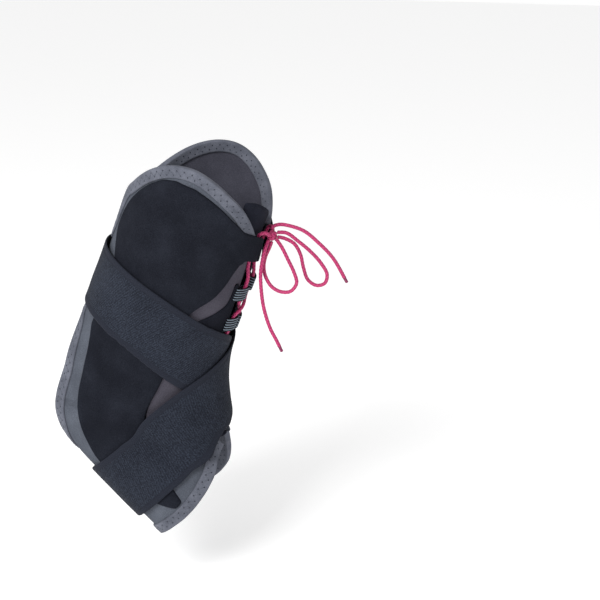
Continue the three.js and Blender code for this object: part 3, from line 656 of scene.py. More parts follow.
def wall(name, outer, inner, uv, materials, stands_for=(), keep=None, kinds=None):
    """A thick wall from two grids; keep says which cells are there, kinds each cell's outer material.

    The last material is the inside's.
    """
    n, m = outer.shape[:2]
    number = np.arange(n * m).reshape(n, m)
    corners = np.stack([number[:-1, :-1], number[:-1, 1:], number[1:, 1:], number[1:, :-1]], -1)
    there = np.ones((n - 1, m - 1), bool) if keep is None else keep
    cells = corners[there]
    total = n * m
    out = cells.tolist()
    back = (cells[:, ::-1] + total).tolist()
    padded = np.pad(there, 1)
    rim = []
    for di, dj, a, b in ((-1, 0, 0, 1), (0, 1, 1, 2), (1, 0, 2, 3), (0, -1, 3, 0)):
        open_side = there & ~padded[1 + di:n + di, 1 + dj:m + dj]
        p, q = corners[open_side][:, a], corners[open_side][:, b]
        rim.append(np.stack([q, p, p + total, q + total], -1))
    rim = np.concatenate(rim).tolist()
    faces = out + back + rim
    face = np.zeros(len(faces), int)
    if kinds is not None:
        face[:len(out)] = kinds[there]
        face[len(out):len(out) + len(back)] = len(materials) - 1
        face[len(out) + len(back):] = 1
    return make_used(
        name, outer.reshape(-1, 3), inner.reshape(-1, 3), faces, uv.reshape(-1, 2), materials,
        stands_for, face,
    )


# About how many millimetres a degree round the leg and the whole way down it measure
ACROSS_SCALE = 0.70
DOWN_SCALE = 290.0
OUTLINE_STEP = 1.1
ROW_STEP = 0.866


RIM_ROWS = (0.12, 0.42, 1)


def patch(name, outline, layer, materials, stands_for=(), step=1.7, rim=1.0):
    """A flat cloth piece cut to an outline of (phi, at) places, with a rounded edge.

    layer gives the heights of its underside and top at each place.
    """
    ring = outline * [ACROSS_SCALE, DOWN_SCALE]
    ring = resample(np.concatenate([ring, ring[:1]]), OUTLINE_STEP)[:-1]
    for _ in range(2):
        ring = (np.roll(ring, 1, 0) + 2 * ring + np.roll(ring, -1, 0)) / 4
    if dot(ring[:, 0], np.roll(ring[:, 1], -1)) < dot(ring[:, 1], np.roll(ring[:, 0], -1)):
        ring = ring[::-1]
    tangent = unit(np.roll(ring, -1, 0) - np.roll(ring, 1, 0))
    inward = tangent[:, ::-1] * [-1, 1]
    after = np.roll(ring, -1, 0)

    def edge_distance(p):
        best = np.full(len(p), 1e9)
        for a, b in zip(ring, after):
            t = np.clip(((p - a) @ (b - a)) / max((b - a) @ (b - a), 1e-12), 0, 1)
            best = np.minimum(best, np.linalg.norm(p - a - t[:, None] * (b - a), axis=1))
        return best

    def inside(p):
        x, y = p[:, 0][:, None], p[:, 1][:, None]
        (ax, ay), (bx, by) = ring.T, after.T
        crosses = ((ay > y) != (by > y)) & (x < (bx - ax) * (y - ay) / (by - ay + 1e-15) + ax)
        return crosses.sum(1) % 2 == 1

    points = [ring]
    for offset in (share * rim for share in RIM_ROWS):
        loop = ring + inward * offset
        points.append(loop[edge_distance(loop) > offset * 0.93])
    low, high = ring.min(0), ring.max(0)
    gx, gy = np.meshgrid(np.arange(low[0], high[0], step), np.arange(low[1], high[1], step * ROW_STEP))
    gx = gx + (np.arange(len(gy)) % 2)[:, None] * step / 2
    grid = pair(gx.ravel(), gy.ravel())
    grid = grid[inside(grid)]
    points.append(grid[edge_distance(grid) > rim + 0.55 * step])
    flat = np.concatenate(points)
    edges = [(k, (k + 1) % len(ring)) for k in range(len(ring))]
    found, _, triangles, *_ = delaunay_2d_cdt([Vector(p) for p in flat], edges, [], 0, 1e-6)
    flat = np.array([tuple(v) for v in found])
    triangles = np.array([tuple(t) for t in triangles])
    triangles = triangles[inside(flat[triangles].mean(1))]
    distance = edge_distance(flat)
    share = np.clip(distance / rim, 0, 1)
    swell = np.sqrt(np.clip(1 - (1 - share) ** 2, 0, 1))
    phi, at = flat[:, 0] / ACROSS_SCALE, flat[:, 1] / DOWN_SCALE
    base, top = layer(phi, at)
    over = on_foot(phi, at, mix(base, top, swell))
    under = on_foot(phi, at, base)
    border = distance < 1e-4
    number = np.arange(len(flat))
    below = np.where(border, number, number + len(flat))
    faces = triangles.tolist() + below[triangles[:, ::-1]].tolist()
    return make_used(name, over, under, faces, flat, materials, stands_for)


def sweep(name, rings, uv, materials, stands_for=(), closed=False):
    """A body through rings of points, closed on itself or capped; uv has a value for each point."""
    count, m = rings.shape[:2]
    uv = np.concatenate([uv, uv[:, :1]], 1) if uv.shape[1] == m else uv
    points = rings.reshape(-1, 3)
    faces, loops = [], []
    for k in range(count if closed else count - 1):
        a, b = k * m, ((k + 1) % count) * m
        nxt = k + 1 if uv.shape[0] > count else (k + 1) % count
        for j in range(m):
            i = (j + 1) % m
            faces.append([a + j, a + i, b + i, b + j])
            loops.append((uv[k, j], uv[k, j + 1], uv[nxt, j + 1], uv[nxt, j]))
    if not closed:
        faces.append(list(range(m - 1, -1, -1)))
        loops.append(uv[0, :m][::-1])
        last = (count - 1) * m
        faces.append([last + j for j in range(m)])
        loops.append(uv[count - 1, :m])
    turned = outward(points, faces)
    if turned is not faces:
        loops = [loop[::-1] for loop in loops]
    flat = np.concatenate([np.asarray(loop) for loop in loops])
    return make_object(name, points, turned, flat, materials, stands_for)


BRAID_RELIEF = 0.045
BRAID_SINK = 0.02
CORD_SIDES = 20
CORD_STEP = 0.45


def tube_rings(line, radii):
    """Rings round a line, carried along without twist, with the braid's relief."""
    tangent = unit(np.gradient(line, axis=0))
    start = np.cross(tangent[0], (0.0, 0.0, 1.0))
    if np.linalg.norm(start) < 0.1:
        start = np.cross(tangent[0], (0.0, 1.0, 0.0))
    normals = [unit(start)]
    for t in tangent[1:]:
        normals.append(unit(normals[-1] - t * (normals[-1] @ t)))
    normals = np.array(normals)
    binormals = np.cross(tangent, normals)
    angle = np.linspace(0, TURN, CORD_SIDES, endpoint=False)
    r = radii[:, None] * (1 + braid(angle[None], lengths(line)[:, None]))
    round_it = (np.cos(angle), normals), (np.sin(angle), binormals)
    return line[:, None] + r[..., None] * sum(a[None, :, None] * way[:, None] for a, way in round_it)


def braid(angle, s):
    one = np.sin(angle * BRAID_STRANDS / 2 + s * TURN / BRAID_PITCH)
    two = np.sin(angle * BRAID_STRANDS / 2 - s * TURN / BRAID_PITCH)
    return BRAID_RELIEF * np.maximum(one, two) - BRAID_SINK


def cord_mesh(name, line, radius, stands_for=(), tip=0.0, blunt=0.35):
    """A braided tube along a line, with rounded ends and, where the cord ends free, a sealed tip."""
    line = resample(line, CORD_STEP)
    s = lengths(line)
    from_end = np.minimum(s, s[-1] - s)
    radii = radius * np.sqrt(np.clip(1 - (1 - np.clip(from_end / blunt, 0, 1)) ** 2, 0.04, 1))
    if tip:
        radii = radii * mix(0.86, 1.0, smooth(s[-1] - s, tip * 0.7, tip * 1.2))
    uv = pair(np.linspace(0, 1, CORD_SIDES + 1), s[:, None])
    piece = sweep(name, tube_rings(line, radii), uv, [LACE_CORD, LACE_TIP], stands_for)
    if tip:
        kinds = np.zeros(len(piece.data.polygons), np.int32)
        first = int((s[-1] - tip) / CORD_STEP) * CORD_SIDES
        kinds[first:(len(line) - 1) * CORD_SIDES] = 1
        kinds[-1] = 1
        piece.data.polygons.foreach_set("material_index", kinds)
    return piece


def threads(name, paths, normals, radius, material, sides=6):
    """Many short stitches in one piece; paths has each one's points and normals the cloth's."""
    count, k = paths.shape[:2]
    tangent = unit(np.gradient(paths, axis=1))
    side = unit(np.cross(tangent, normals))
    up = np.cross(side, tangent)
    t = np.linspace(0, 1, k)
    r = radius * np.sqrt(np.clip(1 - (2 * t - 1) ** 6, 0.1, 1))
    angle = np.linspace(0, TURN, sides, endpoint=False)
    rings = paths[:, :, None] + r[:, None, None] * (
        np.cos(angle)[:, None] * side[:, :, None] + np.sin(angle)[:, None] * up[:, :, None]
    )
    points = rings.reshape(-1, 3)
    base = (np.arange(count) * k * sides)[:, None]
    i, j = np.meshgrid(np.arange(k - 1), np.arange(sides), indexing="ij")
    i, j = i.ravel(), j.ravel()
    nj = (j + 1) % sides
    quad = np.stack([i * sides + j, (i + 1) * sides + j, (i + 1) * sides + nj, i * sides + nj], -1)
    quads = (base[:, :, None] + quad[None]).reshape(-1, 4)
    ring = np.arange(sides)
    caps = np.concatenate([base + ring, base + (k - 1) * sides + ring[::-1]])
    faces = quads.tolist() + caps.tolist()
    length = np.linalg.norm(paths[:, -1] - paths[:, 0], axis=1).mean()
    uq = np.stack([
        np.stack([j, j, j + 1, j + 1], -1) / sides,
        np.stack([t[i], t[i + 1], t[i + 1], t[i]], -1) * length,
    ], -1)
    uv = np.concatenate([
        np.broadcast_to(uq, (count, *uq.shape)).reshape(-1, 2), np.zeros((len(caps) * sides, 2)),
    ])
    make_object(name, points, outward(points, faces), uv, [material])


def seam(name, phi, at, height, pitch, share, radius):
    """A line of running stitches over places given closely along the seam."""
    line = on_foot(phi, at, height)
    s = lengths(line)
    count = int(s[-1] / pitch)
    starts = (np.arange(count) + 0.5 * (1 - share)) * pitch
    t = np.linspace(0, 1, 6)
    here = starts[:, None] + t[None] * pitch * share
    p, a = np.interp(here, s, phi), np.interp(here, s, at)
    h = np.interp(here, s, np.broadcast_to(height, s.shape)) + radius * (1.5 * np.sin(np.pi * t) - 0.7)
    threads(name, on_foot(p, a, h), foot_frame(p, a)[2], radius, DARK_THREAD)


# The shell
def shell_edge(phi, name):
    return along(SHELL_EDGES, phi, name, "phi")


def hole_edge(phi, side):
    h = HEEL_HOLE
    share = np.minimum((180 - phi) / h["half"], 1)
    if side < 0:
        return h["at"] - h["slit"] - h["rise"] * (1 - share ** h["top_power"]) ** (1 / h["top_power"])
    return h["at"] + h["slit"] + h["drop"] * (1 - share ** h["bottom_power"]) ** (1 / h["bottom_power"])


FIRST_ANGLE = LACING_EDGE["phi"].min()
BACK_SPAN = 180 - FIRST_ANGLE
HOLE_SHARE = 0.744
HOLE_START = 43.6
HEEL_CROWDING = 1.3


def shell_places(shares, rows_above, rows_below, end):
    """Places of the shell's grid for one side, from the lacing edge to the middle of the back."""
    share = shares[None, :]
    t = np.concatenate([rows_above, rows_below + 2])[:, None]
    phi = mix(FIRST_ANGLE, 180.0, share) + 0 * t
    for _ in range(8):
        upper = mix(shell_edge(phi, "top"), hole_edge(phi, -1), np.clip(t, 0, 1))
        lower = mix(hole_edge(phi, 1), shell_edge(phi, end), np.clip(t - 2, 0, 1) ** HEEL_CROWDING)
        at = np.where(t <= 1, upper, lower)
        phi = mix(along(LACING_EDGE, at, "phi"), 180.0, share)
    return phi, at


def both_sides(*grid):
    """The shell's grid from the lateral lacing edge round the back to the medial one."""
    phi, at = shell_places(*grid, "end")
    medial_phi, medial_at = shell_places(*grid, "medial_end")
    return (
        np.concatenate([phi, 360 - medial_phi[:, -2::-1]], 1),
        np.concatenate([at, medial_at[:, -2::-1]], 1),
    )


def surface_map(points):
    """Millimetres across and down a grid of points, for the cloth's map."""
    across = np.linalg.norm(np.diff(points, axis=1), axis=2).mean(0)
    down = np.linalg.norm(np.diff(points, axis=0), axis=2).mean(1)
    u, v = (np.concatenate([[0], np.cumsum(steps)]) for steps in (across, down))
    return np.stack(np.meshgrid(u, v), -1)


def shell_shares(before_hole, hole_columns):
    """Shares of the way to the middle of the back, with one on the heel opening's front end."""
    return np.concatenate([before_hole, 1 - np.linspace(HOLE_START, 0, hole_columns)[1:] / BACK_SPAN])


SHELL_RIM = 1.1
EDGE_SHARES = [0, 0.002, 0.005, 0.009]
SHELL_SHARES = shell_shares(np.concatenate([EDGE_SHARES, np.linspace(0.016, HOLE_SHARE, 62)]), 42)
ROWS_ABOVE = np.linspace(0, 1, 78)
ROWS_BELOW = np.linspace(0, 1, 46)
HOLE_COLUMN = len(EDGE_SHARES) + 61
MAUVE_ZONE = dict(turn=75, top=0.165, bottom=0.80)


def make_shell():
    phi, at = both_sides(SHELL_SHARES, ROWS_ABOVE, ROWS_BELOW)
    outer_flat = on_foot(phi, at, SHELL_TOP)
    from_edge = np.linalg.norm(np.diff(outer_flat, axis=1), axis=2).cumsum(1)
    first = np.concatenate([np.zeros((len(phi), 1)), from_edge], 1)
    last = first[:, -1:] - first
    edge = np.clip(np.minimum(first, last) / SHELL_RIM, 0, 1)
    swell = mix(0.25, 1.0, np.sqrt(1 - (1 - edge) ** 2)) * SHELL_WALL / 2
    middle = SHELL_BASE + SHELL_WALL / 2
    outer = on_foot(phi, at, middle + swell)
    inner = on_foot(phi, at, middle - swell)
    keep = np.ones((phi.shape[0] - 1, phi.shape[1] - 1), bool)
    span = phi.shape[1] - 1
    keep[len(ROWS_ABOVE) - 1, HOLE_COLUMN:span - HOLE_COLUMN] = False
    folded = np.where(phi > 180, 360 - phi, phi)[:-1, :-1]
    place, zone = at[:-1, :-1], MAUVE_ZONE
    front = (folded < zone["turn"]) & (place > zone["top"]) & (place < zone["bottom"])
    wall(
        "shell_cloth", outer, inner, surface_map(outer), [BASE_CLOTH, EDGE_CLOTH, LINING],
        ["shell"], keep, np.where(front, 0, 1),
    )


# The binding, folded over the shell's edges
def tape_outline():
    """The tape's section as (inward, height), from its outer leaf's edge round the fold."""
    top, low = PANEL_BASE + BINDING_LEAF, BINDING_BASE
    seat = SHELL_TOP + SEAT
    inner_seat = SHELL_BASE - SEAT
    w, c = BINDING_WIDTH, TAPE_CLEARANCE
    middle = (top + low) / 2
    fold = [
        (-c - BINDING_LEAF * math.sin(a), middle + (top - middle) * math.cos(a))
        for a in np.linspace(0, math.pi, 11)
    ]
    return np.array(
        [(w, seat), (w + 0.05, seat + 0.35), (w - 0.2, top - 0.35), (w - 0.7, top - 0.06)]
        + [(x, top) for x in np.linspace(w - 1.4, 0.3, 12)]
        + fold
        + [(x, low) for x in np.linspace(0.3, w - 0.8, 6)]
        + [(w, low + 0.3), (w, inner_seat)]
        + [(x, inner_seat) for x in (w - 2, w / 2, 0.5, -c + 0.2)]
        + [(-c, middle - 1.0), (-c, middle + 1.0)]
        + [(x, seat) for x in (-c + 0.2, 0.5, w / 2, w - 2)]
    )


def tape_places(phi, at, inward, closed):
    """Even places along an edge, with the direction that leads from it into the cloth."""
    line = on_foot(phi, at, SHELL_TOP)
    if closed:
        line = np.concatenate([line, line[:1]])
        phi, at = np.append(phi, phi[0]), np.append(at, at[0])
    s = lengths(line)
    n = round(s[-1] / 1.5)
    here = np.linspace(0, s[-1], n + 1)
    p, a = np.interp(here, s, phi), np.interp(here, s, at)
    if closed:
        p, a, here = p[:-1], a[:-1], here[:-1]
    point = on_foot(p, a, SHELL_TOP)
    if closed:
        tangent = unit(np.roll(point, -1, 0) - np.roll(point, 1, 0))
        for _ in range(3):
            tangent = unit(np.roll(tangent, -1, 0) + 2 * tangent + np.roll(tangent, 1, 0))
    else:
        tangent = unit(np.gradient(point, axis=0))
    side = np.cross(foot_frame(p, a)[2], tangent) * inward
    return p, a, here, side, s[-1]


PUCKER = dict(pitch=2.9, depth=0.10)
ZIGZAG_RADIUS = 0.15


def make_binding(name, phi, at, inward, closed=False):
    p, a, s, side, total = tape_places(phi, at, inward, closed)
    outline = tape_outline()
    wp, wa = walk(p[:, None], a[:, None], side[:, None], outline[None, :, 0])
    depth = PUCKER["depth"]
    pucker = depth * np.sin(TURN * s / PUCKER["pitch"])[:, None] * smooth(outline[:, 0], -1, 1.5)[None]
    top = (outline[:, 1] > PANEL_BASE)[None]
    rings = on_foot(wp, wa, outline[None, :, 1] - np.where(top, depth - pucker, 0))
    uv = pair(outline[None, :, 0], s[:, None])
    sweep(f"{name}_tape", rings, uv, [BINDING_TAPE], [name], closed)
    half = STITCH_PITCH / 2
    ends = np.arange(1, int((total - 1) / half)) * half
    rows = np.where(np.arange(1, len(ends) + 1) % 2 == 0, *STITCH_ROWS)
    t = np.linspace(0, 1, 6)
    here = mix(ends[:-1, None], ends[1:, None], t[None])
    row = mix(rows[:-1, None], rows[1:, None], t[None])
    sp, sa = np.interp(here, s, p), np.interp(here, s, a)
    sd = unit(np.stack([np.interp(here, s, side[:, k]) for k in range(3)], -1))
    tp, ta = walk(sp, sa, sd, row)
    paths = on_foot(tp, ta, PANEL_BASE + BINDING_LEAF - depth + depth * np.sin(np.pi * t)[None])
    threads(f"{name}_zigzag", paths, foot_frame(tp, ta)[2], ZIGZAG_RADIUS, GREY_THREAD)


def make_bindings():
    columns_before = 100
    ends = np.array([0.0, 1.0])
    phi, at = both_sides(shell_shares(np.linspace(0, HOLE_SHARE, columns_before), 60), ends, ends)
    make_binding("binding_top", phi[0], at[0], 1)
    make_binding("binding_instep", phi[3], at[3], -1)
    hole = slice(columns_before - 1, 1 - columns_before)
    ring = [np.concatenate([grid[1, hole], grid[2, hole][::-1]]) for grid in (phi, at)]
    make_binding("binding_heel", *ring, -1, closed=True)


# Panels, facings and the tongue
PANEL_FOOT = dict(at=0.9475, back=77.5, front=68.5)
PANEL_LANDING = (18, 26)
FACING_SEAM = dict(start=0.285, stop=0.80, inset=2.2)
TONGUE_SEAM = dict(reach=0.93, inset=0.009)
THREAD_RADIUS = 0.17
THREAD_RISE = 0.04


def cut_for(side, outline):
    return pair(on_side(side, outline[:, 0]), outline[:, 1])


def panel_layer(phi, at, side):
    turn = on_side(side, phi)
    below = smooth(at - shell_edge(turn, "top"), TAPE_REACH["start"], TAPE_REACH["stop"])
    behind = smooth(turn, TAPE_REACH["start_angle"], TAPE_REACH["stop_angle"])
    base = mix(TAB_BASE, PANEL_BASE, np.maximum(below, behind))
    drop = (LAYER_GAP - SEAT) * smooth(turn, *PANEL_LANDING)
    return base - drop, base + PANEL_WALL


def panel_outline(tips):
    top, bottom = PANEL_EDGES["at"][[0, -1]]
    down = np.concatenate([np.linspace(top, 0.06, 20), np.linspace(0.065, bottom, 150)])
    back = pair(along(PANEL_EDGES, down, "back"), down)
    foot = pair(np.linspace(PANEL_FOOT["back"], PANEL_FOOT["front"], 12), PANEL_FOOT["at"])
    up = down[::-1]
    front = pair(along(PANEL_EDGES, up, "front"), up)
    tab = PANEL_TAB
    lower = front[up >= tab["bottom"]]
    upper = front[up <= tab["top"]]
    t = np.linspace(0, 1, 14)[1:-1, None]
    corners = [
        np.array([lower[-1]]), np.array([(tips[1], tab["bottom"] + tab["slant"])]),
        np.array([(tips[0], tab["top"] + tab["slant"])]), np.array([upper[0]]),
    ]
    runs = [mix(a, b, t) for a, b in zip(corners, corners[1:])]
    tab_line = np.concatenate([runs[0], corners[1], runs[1], corners[2], runs[2]])
    return np.concatenate([back, foot, lower, tab_line, upper])


def make_panel(side, name):
    patch(
        f"panel_{name}_cloth", cut_for(side, panel_outline(TAB_TIPS[name])),
        lambda phi, at: panel_layer(phi, at, side), [PANEL_CLOTH], [f"panel_{name}"],
    )


def make_facing(side, name):
    down = np.linspace(*FACING_EDGES["at"][[0, -1]], 90)
    front, back = (pair(along(FACING_EDGES, down, edge), down) for edge in ("front", "back"))
    patch(
        f"facing_{name}_cloth", cut_for(side, np.concatenate([front, back[::-1]])),
        lambda phi, at: (SHELL_TOP + SEAT, PANEL_TOP), [FACING_CLOTH], [f"facing_{name}"],
    )
    at = np.linspace(FACING_SEAM["start"], FACING_SEAM["stop"], 120)
    phi = on_side(side, along(FACING_EDGES, at, "front") + FACING_SEAM["inset"])
    seam(
        f"facing_{name}_stitching", phi, at, PANEL_TOP + THREAD_RISE, pitch=3.0, share=0.72,
        radius=THREAD_RADIUS,
    )


def make_tongue():
    t = TONGUE
    phi = np.linspace(-1, 1, 60) * t["half"]
    top = pair(phi, along(TONGUE_TOP, phi, "at", "phi"))
    right = pair(t["half"], np.linspace(top[-1, 1], t["bottom"], 110)[1:-1])
    foot = pair(phi[::-1], t["bottom"])
    left = pair(-t["half"], np.linspace(t["bottom"], top[0, 1], 110)[1:-1])

    def layer(phi, at):
        fold = np.maximum(0, 1 - (phi / t["tip_half"]) ** 2)
        base = t["tip_rise"] * fold * smooth(at, t["tip_at"], t["bottom"])
        return base, base + TONGUE_WALL

    patch(
        "tongue_cloth", np.concatenate([top, right, foot, left]), layer, [TONGUE_CLOTH],
        ["tongue"], step=2.0, rim=1.4,
    )
    phi = np.linspace(-TONGUE_SEAM["reach"], TONGUE_SEAM["reach"], 90) * t["half"]
    at = along(TONGUE_TOP, phi, "at", "phi") + TONGUE_SEAM["inset"]
    seam(
        "tongue_stitching", phi, at, TONGUE_WALL + THREAD_RISE, pitch=3.2, share=0.7,
        radius=THREAD_RADIUS,
    )


# The webbing loops that hold the lace
LOOP_RIB_HEIGHT = 0.13
LOOP_LEAF = 1.2
LOOP_SIDE_LIFT = (0.5, 1.5)


def make_loop(number, at, root, tip, side, name):
    edge = float(along(LACING_EDGE, at, "phi"))
    leaf = LOOP_LEAF
    corners = np.array([
        (root, PANEL_TOP + SEAT), (root, PANEL_TOP + LAYER_GAP + LOOP_WALL),
        (edge, LOOP_CEILING + LOOP_WALL), (tip + leaf, LOOP_CEILING + LOOP_WALL),
        (tip, LOOP_CEILING), (tip, LOOP_FLOOR), (tip + leaf, LOOP_FLOOR - LOOP_WALL),
        (edge - leaf, LOOP_FLOOR - LOOP_WALL), (edge - leaf, LOOP_FLOOR),
        (tip + leaf, LOOP_FLOOR), (tip + leaf, LOOP_CEILING), (edge, LOOP_CEILING),
        (root - 2, PANEL_TOP + SEAT),
    ])
    outline = []
    for a, b in zip(corners, np.roll(corners, -1, 0)):
        outline.extend(mix(a, b, k / 3) for k in range(3))
    outline = np.array(outline)
    for _ in range(2):
        outline = (np.roll(outline, 1, 0) + 2 * outline + np.roll(outline, -1, 0)) / 4
    direction = unit(foot_frame(tip, at)[1])
    offsets = np.linspace(-LOOP_WIDTH / 2, LOOP_WIDTH / 2, 61)
    phi, place = walk(outline[None, :, 0], at, direction, offsets[:, None])
    turns = (offsets + LOOP_WIDTH / 2 - STRIPE_PITCH / 4) / STRIPE_PITCH
    ribs = LOOP_RIB_HEIGHT * np.cos(TURN * turns - math.pi / 2)
    centre = outline.mean(0)
    lift = np.sign(outline[:, 1] - centre[1])
    height = outline[None, :, 1] + ribs[:, None] * lift[None] * smooth(
        np.abs(outline[:, 1] - centre[1]), *LOOP_SIDE_LIFT,
    )[None]
    rings = on_foot(on_side(side, phi), place, height)
    s = lengths(outline * [ACROSS_SCALE, 1.0])
    uv = pair(offsets[:, None] + LOOP_WIDTH / 2, s[None])
    node = f"lace_loop_{name}_{number}"
    sweep(f"{node}_webbing", rings, uv, [LOOP_WEBBING], [node])


# The strap
def strap_height(phi, at, level):
    folded = np.abs((phi + 180) % 360 - 180)
    under = smooth(folded, SOLE["start_angle"], SOLE["stop_angle"]) * smooth(
        at, SOLE["start_place"], SOLE["stop_place"],
    )
    return mix(STRAP_BASE, STRAP_BASE_ON_SOLE, under) + level * STRAP_STEP


def strap_route():
    points = np.stack([STRAP_ROUTE["phi"] / 100, STRAP_ROUTE["at"], 0 * STRAP_ROUTE["at"]], -1)
    curve = catmull(points, 901)
    phi, at = 100 * curve[:, 0], curve[:, 1]
    line = on_foot(phi, at, STRAP_BASE)
    return phi, at, lengths(line), line


ROUTE_PHI, ROUTE_AT, ROUTE_LENGTHS, ROUTE_LINE = strap_route()
ROUTE_LENGTH = ROUTE_LENGTHS[-1]
JOINT_GAP = 0.3


def strap_places(length, across):
    """Places on the strap: a length along its route and a distance across it from its middle line."""
    length, across = np.broadcast_arrays(np.asarray(length, float), np.asarray(across, float))
    phi = np.interp(length, ROUTE_LENGTHS, ROUTE_PHI)
    at = np.interp(length, ROUTE_LENGTHS, ROUTE_AT)

    def route_point(here):
        return np.stack([np.interp(here, ROUTE_LENGTHS, ROUTE_LINE[:, k]) for k in range(3)], -1)

    tangent = unit(route_point(length + STRAP_BEND_REACH) - route_point(length - STRAP_BEND_REACH))
    side = np.cross(tangent, foot_frame(phi, at)[2])
    level = stepped(STRAP_ROUTE, phi, "level", "phi")
    spread = STRAP_SPREAD["reach"] * np.exp(-((phi - STRAP_SPREAD["at"]) / STRAP_SPREAD["half"]) ** 2)
    wider = 2 * spread * np.minimum(across / STRAP_WIDTH, 0)
    place_phi, place_at = walk(phi, at, side, across + wider)
    return place_phi, place_at, strap_height(place_phi, place_at, level)


def across_positions(width, rim, fine):
    half = width / 2
    inner = np.linspace(-half + rim, half - rim, fine)
    edge = rim * np.array([0, 0.08, 0.3, 0.62])
    return np.concatenate([-half + edge, inner, (half - edge)[::-1]])


BAND_RIM = 1.2
HEM_GROOVE = dict(depth=0.22, half=0.5)


def make_band(name, node, start, stop, width, step, material):
    across = across_positions(width, BAND_RIM, 46)
    length = np.linspace(start, stop, round((stop - start) / step) + 1)
    phi, at, base = strap_places(length[:, None], across[None])
    from_side = np.clip((width / 2 - np.abs(across)) / BAND_RIM, 0, 1)[None]
    from_end = np.clip(np.minimum(length - start, stop - length) / BAND_RIM, 0, 1)[:, None]
    swell = np.sqrt(1 - (1 - from_side) ** 2) * mix(0.3, 1.0, np.sqrt(1 - (1 - from_end) ** 2))
    hem_line = width / 2 - HEM
    groove = HEM_GROOVE["depth"] * np.exp(-((np.abs(across) - hem_line) / HEM_GROOVE["half"]) ** 2)[None]
    middle = base + STRAP_WALL / 2
    top = middle + (STRAP_WALL / 2 - groove) * swell
    low = middle - STRAP_WALL / 2 * swell
    outer, inner = on_foot(phi, at, top), on_foot(phi, at, low)
    uv = pair(across[None], length[:, None])
    wall(name, outer, inner, uv, [material], [node])


STRAP_THREAD = 0.16
SEAM_MARGIN = 2


def make_strap():
    end = ROUTE_LENGTH - HOOK_TAB_LENGTH
    make_band("strap_band", "strap", 0, end, STRAP_WIDTH, 1.5, STRAP_KNIT)
    make_band(
        "strap_hook_end", "strap_hook_tab", end + JOINT_GAP, ROUTE_LENGTH, HOOK_TAB_WIDTH, 1.2,
        HOOK_TAPE,
    )
    for name, across in (("strap_stitching_upper", 1), ("strap_stitching_lower", -1)):
        length = np.arange(SEAM_MARGIN, end - SEAM_MARGIN, 1.0)
        offset = across * (STRAP_WIDTH / 2 - HEM)
        phi, at, base = strap_places(length, offset)
        seam(
            name, phi, at, base + STRAP_WALL - STRAP_THREAD, pitch=2.4, share=0.66,
            radius=STRAP_THREAD,
        )


# The lace, its knot and its bow
def lace_line():
    def half(turn, swap):
        r = LACE_RUN
        height = LACE_HEIGHT + r["rise"] + swap * r["crossing"] * LACE_CROSSING
        return on_foot(r["phi"] * turn, r["at"], height)

    bottom = on_foot(0.0, LACE_TURN[0], LACE_HEIGHT + LACE_TURN[1])
    return np.concatenate([half(1, 1), bottom[None], half(-1, -1)[::-1]])


KNOT = on_foot(float(KNOT_AT[0]), KNOT_AT[1], LACE_HEIGHT + KNOT_AT[2])


def make_lace():
    cord_mesh("lace_run", catmull(lace_line(), 600), LACE_RADIUS, stands_for=["lace"])


TIP_LENGTH = 4.0


def make_bow():
    for name, points, free in (
        ("bow_loop_front", BOW_LOOP_FRONT, False),
        ("bow_loop_back", BOW_LOOP_BACK, False),
        ("lace_tail_short", LACE_TAIL_SHORT, True),
        ("lace_tail_long", LACE_TAIL_LONG, True),
    ):
        line = resample(catmull(points, 400) + KNOT, CORD_STEP)
        piece = cord_mesh(
            f"{name}_cord", line, LACE_RADIUS, stands_for=[name], tip=TIP_LENGTH if free else 0.0,
        )


STRAND_GAP = 0.1
KNOT_TURNS = 3.0
KNOT_CORD = 1.15


def make_knot():
    """The knot: close wraps of the cord round its own strands."""
    cord = KNOT_CORD
    t = np.linspace(-1, 1, 181)
    reach = KNOT_LENGTH / 2 - cord
    girth = (KNOT_DEPTH / 2 - cord * 0.8) * np.sqrt(np.clip(1 - (0.88 * t) ** 2, 0, 1))
    angle = t * np.pi * KNOT_TURNS
    line = np.stack([girth * np.cos(angle), reach * t * 0.95, girth * np.sin(angle)], -1) + KNOT
    cord_mesh("knot_cord", line, cord, stands_for=["knot"], blunt=1.1)
    lace = lace_line() - KNOT
    ends = [
        BOW_LOOP_FRONT[0], BOW_LOOP_FRONT[-1], BOW_LOOP_BACK[0], BOW_LOOP_BACK[-1],
        LACE_TAIL_SHORT[0], LACE_TAIL_LONG[0], lace[0], lace[-1],
    ]
    for number, end in enumerate(ends, 1):
        reach = 1 - STRAND_GAP / np.linalg.norm(end)
        strand = np.linspace(0.3, reach, 14)[:, None] * np.array(end) + KNOT
        cord_mesh(f"knot_strand_{number}", strand, LACE_RADIUS, blunt=0.3)


make_bow()
make_knot()
make_lace()
make_shell()
make_bindings()
make_tongue()
for side, name in ((1, "lateral"), (-1, "medial")):
    make_panel(side, name)
    make_facing(side, name)
    for number, (lateral_at, medial_at, root, tip) in enumerate(LOOP_ROWS, 1):
        make_loop(number, lateral_at if side > 0 else medial_at, root, tip, side, name)
make_strap()


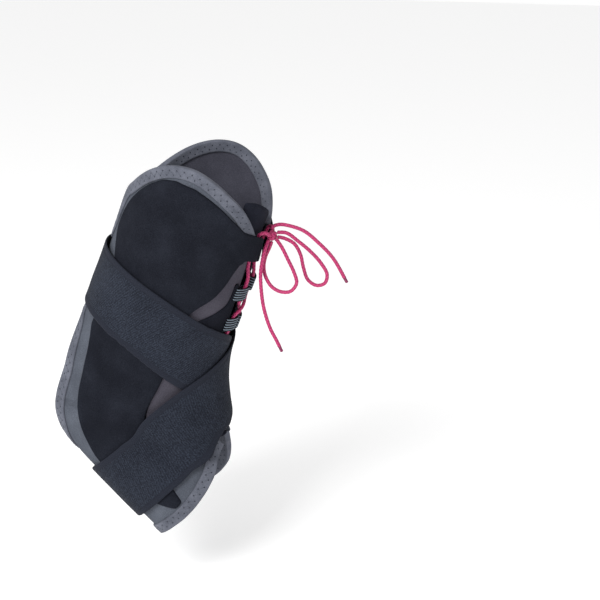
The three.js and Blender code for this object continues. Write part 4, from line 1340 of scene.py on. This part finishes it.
# The floor and the light
FLOOR_DEPTH = 0.175
FLOOR_REACH = 4.0
FLOOR_COLOUR = (0.97, 0.97, 0.97, 1)
FLOOR_GLOW = 0.30


def make_floor():
    look = Look("floor", roughness=0.9, specular=0.1, sheen=0.0)
    for key, value in (
        ("Base Color", FLOOR_COLOUR), ("Emission Color", WHITE), ("Emission Strength", FLOOR_GLOW),
    ):
        look.shader.inputs[key].default_value = value
    mesh = bpy.data.meshes.new("floor")
    r = FLOOR_REACH
    corners = [(x, y, -FLOOR_DEPTH) for x, y in ((-r, -r), (r, -r), (r, r), (-r, r))]
    mesh.from_pydata(corners, [], [(0, 1, 2, 3)])
    mesh.materials.append(look.material)
    floor = bpy.data.objects.new("floor", mesh)
    bpy.context.scene.collection.objects.link(floor)


LIGHT_TARGET = (0.03, 0, 0.02)


def make_light(name, location, size, power):
    data = bpy.data.lights.new(name, "AREA")
    data.size = size
    data.energy = power
    light = bpy.data.objects.new(name, data)
    light.location = location
    light.rotation_mode = "QUATERNION"
    light.rotation_quaternion = (Vector(LIGHT_TARGET) - Vector(location)).to_track_quat("-Z", "Y")
    bpy.context.scene.collection.objects.link(light)


# How bright the sky is for the piece, and how much of that it gains to the left and loses to the right
SKY = 0.62
SKY_TILT = 0.40


def make_world():
    """White to the camera; to the piece a softer light, stronger from the left."""
    world = bpy.data.worlds.new("studio")
    world.use_nodes = True
    tree = world.node_tree
    background = tree.nodes["Background"]
    background.inputs[0].default_value = WHITE
    direction = add_node(tree, "ShaderNodeTexCoord").outputs["Generated"]
    rightward = add_node(tree, "ShaderNodeSeparateXYZ", {0: direction}).outputs[0]
    ambient = Field(tree, rightward) * (-SKY * SKY_TILT) + SKY
    to_camera = Field(tree, add_node(tree, "ShaderNodeLightPath").outputs["Is Camera Ray"])
    strength = to_camera * (ambient * -1.0 + 1.0) + ambient
    tree.links.new(strength.socket, background.inputs[1])
    bpy.context.scene.world = world
    bpy.context.scene.view_settings.view_transform = "Standard"


make_floor()
make_world()
make_light("key", (-0.35, -1.22, 1.0), 0.7, 18)
make_light("fill", (1.3, -0.9, 0.3), 1.2, 2)
